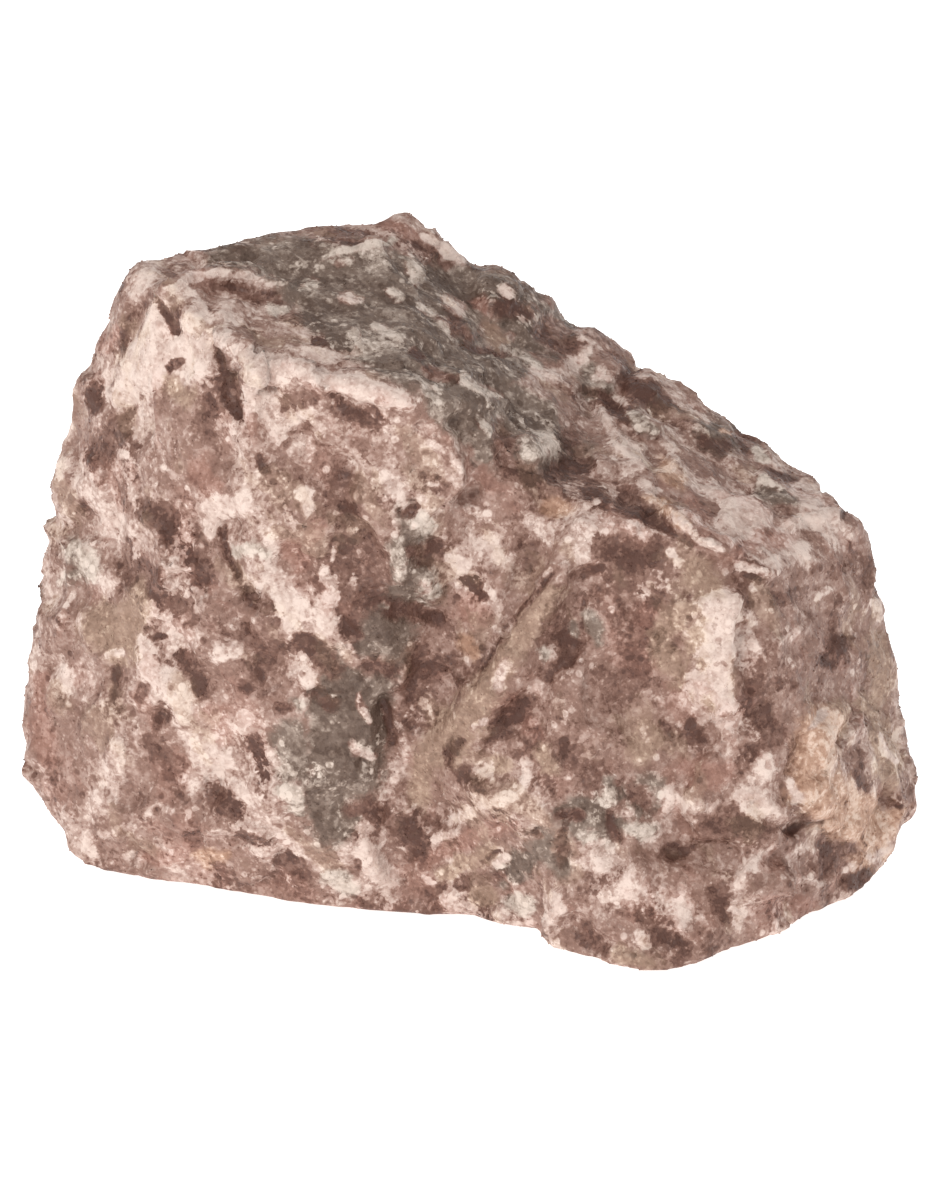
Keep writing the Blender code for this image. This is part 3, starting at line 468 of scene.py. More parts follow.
def depth_inside(places: np.ndarray, path: tuple) -> np.ndarray:
    """How far places lie inside a path, below 0 outside it.

    Args:
        places: The places, one in each row.
        path: The path's points, each with its half width as the last number.

    Returns:
        One distance for each place, in the path's own unit.
    """
    points = np.array(path, dtype=float)
    best = np.full(len(places), -np.inf)
    for start, end in zip(points, points[1:]):
        run = end[:-1] - start[:-1]
        share = np.clip((places - start[:-1]) @ run / max(run @ run, TINY), 0.0, 1.0)
        gap = np.linalg.norm(places - start[:-1] - share[:, None] * run, axis=1)
        best = np.maximum(best, start[-1] + share * (end[-1] - start[-1]) - gap)
    return best


def eased(share: np.ndarray, height: float) -> np.ndarray:
    """A rise to a height while a share goes from 0 to 1, with a smooth turn at both ends."""
    share = np.clip(share, 0.0, 1.0)
    return height * share * share * (3.0 - 2.0 * share)


def wandered(places: np.ndarray, sizes: tuple, amounts: tuple) -> np.ndarray:
    """Moves places about by soft noise, so that what is laid on them loses its straight edges.

    Args:
        places: The places, one in each row.
        sizes: The sizes of the noise's lumps, in the places' own unit.
        amounts: How far each of those noises moves a place at most.

    Returns:
        The moved places.
    """
    result = places.copy()
    flat = np.zeros((len(places), 3))
    flat[:, : places.shape[1]] = places
    for size, amount in zip(sizes, amounts):
        for axis in range(places.shape[1]):
            shift = Vector([NOISE_SHIFT * (axis + 1)] * 3)
            result[:, axis] += [amount * noise.noise(Vector(row) + shift) for row in flat / size]
    return result


def shown(name: str, data: bpy.types.ID) -> bpy.types.Object:
    """Makes an object of a mesh, a lamp or a camera, in the scene and at its origin."""
    piece = bpy.data.objects.new(name, data)
    bpy.context.scene.collection.objects.link(piece)
    return piece


@dataclass(frozen=True)
class Sight:
    """Where the photograph was taken from, and how it maps onto the stone.

    Attributes:
        width: The photograph's width in pixels, and height its height.
        look_down: How far the camera looks down, in radians.
        distance: From the camera to the middle of the view, in metres.
        pixel: The size of a pixel at that distance, in metres.
        aim: The middle of the view, in metres.
        far: How far the camera sees, in metres.
    """

    width: int = 928
    height: int = 1200
    look_down: float = math.radians(25.0)
    distance: float = 1.5
    pixel: float = 0.0000838
    aim: tuple = (-0.0003, 0.00962, 0.01865)
    far: float = 20.0

    def back(self) -> Vector:
        """The way from the stone to the camera."""
        return Vector((0.0, -math.cos(self.look_down), math.sin(self.look_down)))

    def up(self) -> Vector:
        """The way that is up in the photograph."""
        return Vector((0.0, math.sin(self.look_down), math.cos(self.look_down)))

    def place(self) -> Vector:
        """Where the camera stands."""
        return Vector(self.aim) + self.back() * self.distance

    def pixels(self, points: np.ndarray) -> np.ndarray:
        """Where points show in the photograph.

        Args:
            points: The points in metres, one in each row.

        Returns:
            Their x and y in pixels, one point in each row.
        """
        offset = points - np.array(self.place())
        scale = self.distance / self.pixel / (offset @ -np.array(self.back()))
        x = self.width / 2.0 + offset[:, 0] * scale
        y = self.height / 2.0 - (offset @ np.array(self.up())) * scale
        return np.stack([x, y], axis=1)

    def camera(self) -> bpy.types.Object:
        """Makes the camera that sees what the photograph shows."""
        data = bpy.data.cameras.new("photograph")
        data.lens = data.sensor_width * self.distance / (self.height * self.pixel)
        data.clip_end = self.far
        camera = shown("photograph", data)
        camera.location = self.place()
        camera.rotation_euler = self.back().to_track_quat("Z", "Y").to_euler()
        bpy.context.scene.camera = camera
        return camera


@dataclass(frozen=True)
class Cloud:
    """Soft noise.

    Attributes:
        size: The size of its lumps.
        detail: How many finer levels it has.
        rough: How strong those are.
    """

    size: float
    detail: float
    rough: float


@dataclass(frozen=True)
class Cells:
    """A break into cells, as sockets of a tree.

    Attributes:
        gap: How far each place is from its cell's middle, in cell sizes.
        middle: That middle.
        own: Three numbers of the cell's own, from 0 to 1.
    """

    gap: bpy.types.NodeSocket
    middle: bpy.types.NodeSocket
    own: list


class Wiring:
    """Adds nodes to one tree and joins them up."""

    def __init__(self, tree: bpy.types.NodeTree) -> None:
        """Args: tree: The tree that the nodes go in."""
        self.tree = tree

    def join(self, socket: bpy.types.NodeSocket, value: object) -> None:
        """Gives an input a value, or another node's socket to read."""
        if isinstance(value, bpy.types.NodeSocket):
            self.tree.links.new(value, socket)
        else:
            socket.default_value = value

    def add(self, kind: str, inputs: dict | None = None, **settings: object) -> bpy.types.Node:
        """Adds a node.

        Args:
            kind: Blender's name for it.
            inputs: A value or another node's socket for each input, by its name or number.
            settings: The node's own settings.

        Returns:
            The node.
        """
        node = self.tree.nodes.new(kind)
        for name, value in settings.items():
            setattr(node, name, value)
        for key, value in (inputs or {}).items():
            self.join(node.inputs[key], value)
        return node

    def maths(self, operation: str, *values: object) -> bpy.types.NodeSocket:
        """A sum on numbers, such as ADD, of values or sockets."""
        return self.add("ShaderNodeMath", dict(enumerate(values)), operation=operation).outputs[0]

    def total(self, *values: object) -> bpy.types.NodeSocket:
        """All the numbers added up."""
        result = values[0]
        for value in values[1:]:
            result = self.maths("ADD", result, value)
        return result

    def swing(self, value: object, amount: object) -> bpy.types.NodeSocket:
        """How far a number is above one half, times an amount."""
        return self.maths("MULTIPLY", self.maths("SUBTRACT", value, 0.5), amount)

    def vector(self, operation: str, *values: object) -> bpy.types.NodeSocket:
        """A sum on vectors, such as ADD, of values or sockets."""
        return self.add("ShaderNodeVectorMath", dict(enumerate(values)), operation=operation).outputs[0]

    def scaled(self, vector: object, scale: object) -> bpy.types.NodeSocket:
        """A vector times a number."""
        return self.add("ShaderNodeVectorMath", {0: vector, "Scale": scale}, operation="SCALE").outputs[0]

    def dot(self, first: object, second: object) -> bpy.types.NodeSocket:
        """How far one vector goes the way of another."""
        node = self.add("ShaderNodeVectorMath", {0: first, 1: second}, operation="DOT_PRODUCT")
        return node.outputs["Value"]

    def squashed(self, place: object, way: tuple, amount: float) -> bpy.types.NodeSocket:
        """Places moved closer together along one way, so that a pattern made of them is drawn out."""
        along = self.maths("MULTIPLY", self.dot(place, way), amount)
        return self.vector("SUBTRACT", place, self.scaled(way, along))

    def centred(self, colour: object) -> bpy.types.NodeSocket:
        """A colour's three numbers, or a noise's, as a way that points to any side."""
        return self.vector("SUBTRACT", colour, (0.5, 0.5, 0.5))

    def smooth_step(self, value: object, low: object, high: object) -> bpy.types.NodeSocket:
        """0 below low and 1 above high, with a smooth turn between them."""
        inputs = {"Value": value, "From Min": low, "From Max": high}
        return self.add("ShaderNodeMapRange", inputs, interpolation_type="SMOOTHSTEP").outputs[0]

    def mix(self, share: object, below: object, above: object) -> bpy.types.NodeSocket:
        """One colour over another, as far as share says."""
        return self.add("ShaderNodeMix", {0: share, 6: below, 7: above}, data_type="RGBA").outputs[2]

    def noise(self, place: object, cloud: Cloud) -> bpy.types.Node:
        """Soft noise, read at places in millimetres."""
        inputs = {"Vector": place, "Scale": 1.0 / cloud.size}
        inputs |= {"Detail": cloud.detail, "Roughness": cloud.rough}
        return self.add("ShaderNodeTexNoise", inputs)

    def noises(self, place: object, cloud: Cloud) -> list:
        """Three soft noises that have nothing to do with each other."""
        colour = self.noise(place, cloud).outputs["Color"]
        return list(self.add("ShaderNodeSeparateColor", {0: colour}).outputs)[:3]

    def wandered(self, place: object, cloud: Cloud, amount: float) -> bpy.types.NodeSocket:
        """Places moved about by soft noise."""
        way = self.centred(self.noise(place, cloud).outputs["Color"])
        return self.vector("ADD", place, self.scaled(way, amount))

    def cells(self, place: object, size: float) -> Cells:
        """A break into cells of about a size, in millimetres."""
        node = self.add("ShaderNodeTexVoronoi", {"Vector": place, "Scale": 1.0 / size})
        own = self.add("ShaderNodeSeparateColor", {0: node.outputs["Color"]}).outputs
        return Cells(node.outputs["Distance"], node.outputs["Position"], list(own)[:3])

    def attribute(self, name: str) -> bpy.types.NodeSocket:
        """A number that the mesh brings along."""
        return self.add("ShaderNodeAttribute", attribute_name=name).outputs["Fac"]

    def ramp(self, share: object, colours: tuple) -> bpy.types.NodeSocket:
        """Colours in even steps from a share of 0 to 1."""
        node = self.add("ShaderNodeValToRGB", {"Fac": share})
        elements = node.color_ramp.elements
        while len(elements) < len(colours):
            elements.new(0.5)
        for index, colour in enumerate(colours):
            elements[index].position = index / (len(colours) - 1)
            elements[index].color = linear(colour)
        return node.outputs[0]


@dataclass(frozen=True)
class Look:
    """How a mineral differs from the ground round it.

    Attributes:
        paler: How much likelier pale patches are in it.
        darker: How much likelier dark patches are in it.
        rise: How far it stands out.
        hue: Its range of colours.
    """

    paler: float
    darker: float
    rise: float
    hue: Hue = Hue.RED


LOOKS = {
    Mineral.MAUVE: Look(-0.08, -0.05, 0.0),
    Mineral.PINK: Look(0.12, -0.08, 0.08),
    Mineral.GREY: Look(-0.04, 0.03, -0.05, Hue.GREY),
    Mineral.MAROON: Look(-0.14, 0.15, -0.08),
    Mineral.OCHRE: Look(0.05, -0.05, 0.06, Hue.OCHRE),
    Mineral.RUST: Look(-0.02, -0.02, 0.0, Hue.RUST),
    Mineral.TAN: Look(-0.01, -0.08, 0.08, Hue.TAN),
    Mineral.QUARTZ: Look(0.14, -0.13, 0.2, Hue.GREY),
    Mineral.CREAM: Look(0.20, -0.13, 0.18),
    Mineral.VEIN: Look(0.32, -0.20, 0.22),
    # Umber darkens the stone: partly the dark mineral, partly painted shade in the cracks.
    Mineral.UMBER: Look(-0.20, 0.21, -0.12),
}

# Each hue's colours as a screen shows them, in even steps from its darkest places to its palest.
# Where two hues meet, the later one covers the earlier.
PALETTES = {
    Hue.RED: ((80, 53, 44), (107, 77, 66), (135, 105, 93), (173, 148, 137), (205, 185, 174)),
    Hue.RUST: ((78, 50, 41), (108, 74, 63), (138, 102, 89), (170, 137, 125), (206, 182, 172)),
    Hue.TAN: ((88, 65, 52), (116, 90, 75), (142, 115, 99), (174, 148, 130), (210, 190, 174)),
    Hue.OCHRE: ((86, 60, 46), (120, 87, 69), (148, 113, 93), (178, 144, 124), (208, 183, 166)),
    Hue.GREY: ((76, 58, 48), (93, 75, 65), (113, 95, 84), (160, 143, 131), (200, 184, 172)),
}


@dataclass(frozen=True)
class Step:
    """A step in how pale the stone is, where a likelihood goes from low to high.

    Attributes:
        low: The likelihood at which the step begins, and high that at which it ends.
        level: How pale it is after the step, or how much paler than before it.
    """

    low: float
    high: float
    level: float


@dataclass(frozen=True)
class Flecks:
    """Cells that stand out from the others.

    Attributes:
        chance: Cells whose own number is above this stand out.
        amount: How much paler they are.
    """

    chance: float
    amount: float


@dataclass(frozen=True)
class Texture:
    """The noises and cells that the finish is made of, as sockets of one tree.

    Attributes:
        grain: The quartz grains.
        crystal: The larger crystals.
        fine: The finest noise.
        tone: The paler and darker parts within a patch.
        teeth: Three noises for the edges of the marks.
        patches: Three noises for the patches of the ground between them.
    """

    grain: Cells
    crystal: Cells
    fine: bpy.types.NodeSocket
    tone: bpy.types.NodeSocket
    teeth: list
    patches: list


@dataclass(frozen=True)
class AventurineFinish:
    """The stone's finish: mottled sugary quartz, each mineral in its own range of colours.

    Attributes:
        grain: The size of the quartz grains, and crystal that of the larger crystals.
        snap: How far a patch's edge follows the crystals.
        wander: The noise that bends grains and crystals, and wander_by how far.
        fine: The finest noise, and tone that of the paler and darker parts within a patch.
        teeth: The noise of the marks' edges, and ragged how far an edge strays by it.
        edge: Half the width over which a mark sets in.
        patch: The noise of the ground between the marks, and patch_gain its strength.
        layers: The way across the stone's layers, and layer_press how much thinner patches are.
        fabric: The way that patches are drawn out in those layers, and drawn by how much.
        grain_jitter: How much a grain changes what is likely, and fine_jitter the finest noise.
        pale_trend: How much a trend adds to what is paler, and dark_trend to what is darker.
        rosy_trend: How much a trend adds to the rust, and rust the range in which that sets in.
        tan: The range in which the ground turns tan, and tinge how far it takes either colour.
        ground: How pale the ground is, before the steps down and the steps up.
        depths: How much the tones, the finest noise, grains and crystals change that.
        star: The pale crystals, and grey_stars how much likelier they are in grey parts.
        pit: The dark crystals, and sugar and soot the pale and the dark grains.
        crystal_core: From a crystal's edge to its full strength, and grain_core a grain's.
        bumps: How high the grains, the crystals, the finest noise and the teeth stand.
        bump: How much of those heights shows.
        rough: The least roughness, and rougher how much more the dullest grains have.
        shine: How strongly the surface mirrors.
    """

    grain: float = 0.3
    crystal: float = 0.95
    snap: float = 0.3
    wander: Cloud = Cloud(1.2, 2.0, 0.55)
    wander_by: float = 0.3
    fine: Cloud = Cloud(0.55, 2.0, 0.55)
    tone: Cloud = Cloud(1.5, 4.0, 0.66)
    teeth: Cloud = Cloud(1.7, 4.0, 0.7)
    ragged: float = 3.0
    edge: float = 0.6
    patch: Cloud = Cloud(4.4, 4.0, 0.56)
    patch_gain: float = 0.74
    layers: tuple = (0.354, 0.925, -0.140)
    layer_press: float = 0.35
    fabric: tuple = (0.56, -0.33, -0.76)
    drawn: float = 0.4
    grain_jitter: float = 0.06
    fine_jitter: float = 0.2
    pale_trend: float = 0.07
    dark_trend: float = -0.06
    rosy_trend: float = 0.07
    rust: tuple = (0.54, 0.62)
    tan: tuple = (0.47, 0.40)
    tinge: float = 0.6
    ground: float = 0.5
    down: tuple = (Step(0.53, 0.595, -0.25), Step(0.635, 0.705, -0.25))
    up: tuple = (Step(0.495, 0.56, 0.70), Step(0.575, 0.64, 0.90))
    depths: tuple = (0.7, 0.42, 0.1, 0.16)
    star: Flecks = Flecks(0.91, 0.30)
    grey_stars: float = 0.18
    pit: Flecks = Flecks(0.94, -0.25)
    sugar: Flecks = Flecks(0.84, 0.16)
    soot: Flecks = Flecks(0.92, -0.12)
    crystal_core: tuple = (0.42, 0.26)
    grain_core: tuple = (0.5, 0.3)
    bumps: tuple = (0.04, 0.06, 0.2, 0.45)
    bump: float = 0.5
    rough: float = 0.40
    rougher: float = 0.35
    shine: float = 0.25

    def texture(self, make: Wiring) -> Texture:
        """Adds the noises and cells that the rest is made of."""
        place = make.scaled(make.add("ShaderNodeTexCoord").outputs["Object"], 1.0 / MILLIMETRE)
        bent = make.wandered(place, self.wander, self.wander_by)
        crystal = make.cells(bent, self.crystal)
        snapped = make.scaled(crystal.middle, self.snap)
        whole = make.vector("ADD", make.scaled(bent, 1.0 - self.snap), snapped)
        lean = make.squashed(whole, self.fabric, self.drawn)
        ground = make.noises(make.squashed(lean, self.layers, -self.layer_press), self.patch)
        calm = 0.5 * (1.0 - self.patch_gain)
        return Texture(
            grain=make.cells(bent, self.grain),
            crystal=crystal,
            fine=make.noise(place, self.fine).outputs[0],
            tone=make.noise(bent, self.tone).outputs[0],
            teeth=make.noises(whole, self.teeth),
            patches=[make.maths("MULTIPLY_ADD", part, self.patch_gain, calm) for part in ground],
        )

    def chances(self, make: Wiring, texture: Texture) -> tuple:
        """Works out what each place is likely to be: by chance, by the trends and by the marks.

        Args:
            make: The tree's wiring.
            texture: Its noises and cells.

        Returns:
            How likely it is to be pale, how likely to be dark, and each hue's share.
        """
        pale = make.attribute(Trend.PALE.value)
        jitter = make.swing(texture.grain.own[2], self.grain_jitter)
        jitter = make.total(make.swing(texture.fine, self.fine_jitter), jitter)
        paler = make.total(texture.patches[0], jitter, make.maths("MULTIPLY", pale, self.pale_trend))
        darker = make.maths("SUBTRACT", texture.patches[1], jitter)
        darker = make.total(darker, make.maths("MULTIPLY", pale, self.dark_trend))
        hues = {hue: 0.0 for hue in Hue}
        for index, mineral in enumerate(Mineral):
            # The minerals take turns at the three noises and at their two sides.
            look = LOOKS[mineral]
            side = 1.0 - 2.0 * (index % 2)
            strayed = make.swing(texture.teeth[index % 3], self.ragged * side)
            inside = make.maths("ADD", make.attribute(mineral.value), strayed)
            inside = make.smooth_step(inside, -self.edge, self.edge)
            paler = make.maths("MULTIPLY_ADD", inside, look.paler, paler)
            darker = make.maths("MULTIPLY_ADD", inside, look.darker, darker)
            hues[look.hue] = make.maths("ADD", hues[look.hue], inside)
        rosy = make.maths("MULTIPLY", make.attribute(Trend.ROSY.value), self.rosy_trend)
        rosy = make.maths("ADD", texture.patches[2], rosy)
        for hue, value, span in ((Hue.RUST, rosy, self.rust), (Hue.TAN, texture.patches[2], self.tan)):
            hues[hue] = make.maths("MULTIPLY_ADD", make.smooth_step(value, *span), self.tinge, hues[hue])
        shares = {hue: make.maths("MINIMUM", share, 1.0) for hue, share in hues.items()}
        return paler, darker, shares

    def level(self, make: Wiring, texture: Texture, paler: object, darker: object, grey: object) -> object:
        """Works out where each place lies between the darkest and the palest.

        There are steps at the patches' edges, and softer tones, crystals and grains in them.

        Args:
            make: The tree's wiring.
            texture: Its noises and cells.
            paler: How likely the place is to be pale.
            darker: How likely it is to be dark.
            grey: The share of the grey hue.

        Returns:
            The level's socket, from 0 to 1.
        """
        level = self.ground
        for step in self.down:
            share = make.smooth_step(darker, step.low, step.high)
            level = make.maths("MULTIPLY_ADD", share, step.level, level)
        for step in self.up:
            share = make.smooth_step(paler, step.low, step.high)
            level = make.add("ShaderNodeMix", {0: share, 2: level, 3: step.level}).outputs[0]
        grain, crystal = texture.grain, texture.crystal
        values = (texture.tone, texture.fine, grain.own[0], crystal.own[0])
        parts = [make.swing(value, depth) for value, depth in zip(values, self.depths)]
        crystal_core = make.smooth_step(crystal.gap, *self.crystal_core)
        grain_core = make.smooth_step(grain.gap, *self.grain_core)
        starry = make.maths("MULTIPLY_ADD", grey, self.grey_stars, crystal.own[1])
        for own, core, flecks in (
            (starry, crystal_core, self.star),
            (crystal.own[2], crystal_core, self.pit),
            (grain.own[1], grain_core, self.sugar),
            (grain.own[2], grain_core, self.soot),
        ):
            chosen = make.maths("MULTIPLY", make.maths("GREATER_THAN", own, flecks.chance), core)
            parts.append(make.maths("MULTIPLY", chosen, flecks.amount))
        return make.total(level, *parts)

    def minerals(self) -> bpy.types.ShaderNodeTree:
        """Builds the group that turns the map of minerals into colours and relief.

        Returns:
            The group, with Colour, Roughness and Height.
        """
        tree = bpy.data.node_groups.new("aventurine_minerals", "ShaderNodeTree")
        for name, kind in (("Colour", "Color"), ("Roughness", "Float"), ("Height", "Float")):
            tree.interface.new_socket(name, in_out="OUTPUT", socket_type="NodeSocket" + kind)
        make = Wiring(tree)
        texture = self.texture(make)
        paler, darker, shares = self.chances(make, texture)
        level = self.level(make, texture, paler, darker, shares[Hue.GREY])
        ground, *others = PALETTES
        colour = make.ramp(level, PALETTES[ground])
        for hue in others:
            colour = make.mix(shares[hue], colour, make.ramp(level, PALETTES[hue]))
        dome = make.maths("SUBTRACT", 1.0, texture.grain.gap)
        standing = zip((dome, texture.crystal.own[0], texture.fine, texture.teeth[0]), self.bumps)
        height = make.total(*(make.maths("MULTIPLY", part, bump) for part, bump in standing))
        roughness = make.maths("MULTIPLY_ADD", texture.grain.own[1], self.rougher, self.rough)
        make.add("NodeGroupOutput", {"Colour": colour, "Roughness": roughness, "Height": height})
        return tree

    def material(self) -> bpy.types.Material:
        """Makes the stone's material."""
        material = bpy.data.materials.new("aventurine")
        material.use_nodes = True
        make = Wiring(material.node_tree)
        shader = material.node_tree.nodes["Principled BSDF"].inputs
        minerals = make.add("ShaderNodeGroup", node_tree=self.minerals()).outputs
        relief = {"Height": minerals["Height"], "Distance": MILLIMETRE, "Strength": self.bump}
        make.join(shader["Base Color"], minerals["Colour"])
        make.join(shader["Roughness"], minerals["Roughness"])
        make.join(shader["Normal"], make.add("ShaderNodeBump", relief).outputs[0])
        make.join(shader["Specular IOR Level"], self.shine)
        return material


@dataclass(frozen=True)
class Growth:
    """A Geometry Nodes tree that grows something on a mesh, with its own fields as its inputs."""

    def sizes(self) -> dict:
        """The fields that are numbers, by the names of the tree's inputs."""
        named = {field.replace("_", " ").title(): value for field, value in vars(self).items()}
        return {name: value for name, value in named.items() if isinstance(value, (int, float))}

    def begin(self, name: str) -> Wiring:
        """Makes an empty tree with its inputs and its output."""
        tree = bpy.data.node_groups.new(name, "GeometryNodeTree")
        kinds = {"Geometry": "Geometry", "Finish": "Material"}
        for size, value in self.sizes().items():
            kinds[size] = "Int" if isinstance(value, int) else "Float"
        for size, kind in kinds.items():
            tree.interface.new_socket(size, in_out="INPUT", socket_type="NodeSocket" + kind)
        tree.interface.new_socket("Geometry", in_out="OUTPUT", socket_type="NodeSocketGeometry")
        return Wiring(tree)

    def end(self, make: Wiring, geometry: object, finish: object) -> bpy.types.GeometryNodeTree:
        """Gives the tree's result its finish, as real faces."""
        real = make.add("GeometryNodeRealizeInstances", {"Geometry": geometry})
        dressed = make.add("GeometryNodeSetMaterial", {"Geometry": real.outputs[0], "Material": finish})
        make.add("NodeGroupOutput", {0: dressed.outputs[0]})
        return make.tree

    def grown(self, mesh: bpy.types.Mesh, name: str, finish: bpy.types.Material) -> bpy.types.Mesh:
        """Runs the tree on a mesh.

        Args:
            mesh: The mesh that it starts from.
            name: What the new mesh is called.
            finish: The material of what has grown.

        Returns:
            The result as a plain mesh.
        """
        piece = shown(name, mesh)
        modifier = piece.modifiers.new(name, "NODES")
        modifier.node_group = self.tree()
        inputs = self.sizes() | {"Finish": finish}
        for socket in modifier.node_group.interface.items_tree:
            if socket.in_out == "INPUT" and socket.name in inputs:
                modifier[socket.identifier] = inputs[socket.name]
        graph = bpy.context.evaluated_depsgraph_get()
        done = piece.evaluated_get(graph)
        result = bpy.data.meshes.new_from_object(done, preserve_all_data_layers=True, depsgraph=graph)
        bpy.data.objects.remove(piece)
        result.name = name
        return result


@dataclass(frozen=True)
class Relief(Growth):
    """The chips and steps of a broken rock face.

    Attributes:
        chip: The size of the large chips, and chip_lean how steeply they lean.
        flake: The size of the small ones, and flake_lean how steeply they lean.
        lump: The size of the soft lumps, and lump_height their height.
        grit: The size of the finest lumps, and grit_height their height.
        detail: How many finer levels the lumps have.
        bend: The noise that bends the chips' edges, and bend_by how far.
        foot_start: How far up from the ground the relief begins, and foot where it's at its full height.
    """

    chip: float = 6.5
    chip_lean: float = 0.07
    flake: float = 2.4
    flake_lean: float = 0.06
    lump: float = 4.0
    lump_height: float = 0.4
    grit: float = 1.3
    grit_height: float = 0.17
    detail: float = 2.0
    bend: Cloud = Cloud(3.0, 2.0, 0.5)
    bend_by: float = 2.0
    foot_start: float = 0.1
    foot: float = 2.0

    def tree(self) -> bpy.types.GeometryNodeTree:
        """Builds the tree. Chips lean by chance, from minus to plus their lean each way."""
        make = self.begin("broken_rock")
        given = make.add("NodeGroupInput").outputs
        place = make.scaled(make.add("GeometryNodeInputPosition").outputs[0], 1.0 / MILLIMETRE)
        ledge = make.add("GeometryNodeInputNamedAttribute", {"Name": LEDGE}, data_type="FLOAT")
        heights = [ledge.outputs[0]]
        bent = make.wandered(place, self.bend, given["Bend By"])
        for name in ("Chip", "Flake"):
            inputs = {"Vector": bent, "Scale": make.maths("DIVIDE", 1.0, given[name])}
            chips = make.add("ShaderNodeTexVoronoi", inputs).outputs
            way = make.vector("SUBTRACT", bent, chips["Position"])
            # A chip's colour goes half a unit to each side, so its lean is doubled.
            lean = make.maths("MULTIPLY", given[name + " Lean"], 2.0)
            heights.append(make.maths("MULTIPLY", make.dot(way, make.centred(chips["Color"])), lean))
        for name in ("Lump", "Grit"):
            inputs = {"Vector": place, "Scale": make.maths("DIVIDE", 1.0, given[name])}
            lumps = make.add("ShaderNodeTexNoise", inputs | {"Detail": given["Detail"]}).outputs[0]
            heights.append(make.swing(lumps, given[name + " Height"]))
        above = make.add("ShaderNodeSeparateXYZ", {0: place}).outputs["Z"]
        free = make.smooth_step(above, given["Foot Start"], given["Foot"])
        rise = make.maths("MULTIPLY", make.maths("MULTIPLY", make.total(*heights), free), MILLIMETRE)
        offset = make.scaled(make.add("GeometryNodeInputNormal").outputs[0], rise)
        moved = make.add("GeometryNodeSetPosition", {"Geometry": given["Geometry"], "Offset": offset})
        return self.end(make, moved.outputs[0], given["Finish"])


@dataclass(frozen=True)
class HiddenMarks:
    """Marks for the sides that the photograph doesn't show, spread by chance.

    Attributes:
        seed: Which chances are taken.
        count: How many marks there are.
        thin: The narrowest mark's half width, and wide the widest's.
        long: The longest mark's length. A mark's share of it is a chance squared, from short to 1.
        taper: A mark's width at its ends, as a share of that in its middle.
        inset: How far from the sides that show they begin.
    """

    seed: int = 7
    count: int = 330
    thin: float = 0.35
    wide: float = 1.5
    long: float = 6.5
    short: float = 0.3
    taper: float = 0.7
    inset: float = 2.5

    def paths(self, points: np.ndarray, gaps: np.ndarray) -> list:
        """Spreads the marks.

        Args:
            points: The hidden corners in millimetres, one in each row.
            gaps: How far each of them is from the sides that show.

        Returns:
            A mineral and a path for each mark, with x, y, z and half width at its points.
        """
        chance = np.random.default_rng(self.seed)
        minerals = [mineral for mineral, paths in MARKS for _ in paths]
        far = points[gaps > self.inset]
        result = []
        for _ in range(self.count):
            middle = far[chance.integers(len(far))]
            half = chance.normal(size=3)
            half *= 0.5 * chance.uniform(self.short, 1.0) ** 2 * self.long / np.linalg.norm(half)
            width = self.thin + (self.wide - self.thin) * chance.random() ** 2
            end = width * self.taper
            path = ((*(middle - half), end), (*middle, width), (*(middle + half), end))
            result.append((minerals[chance.integers(len(minerals))], path))
        return result


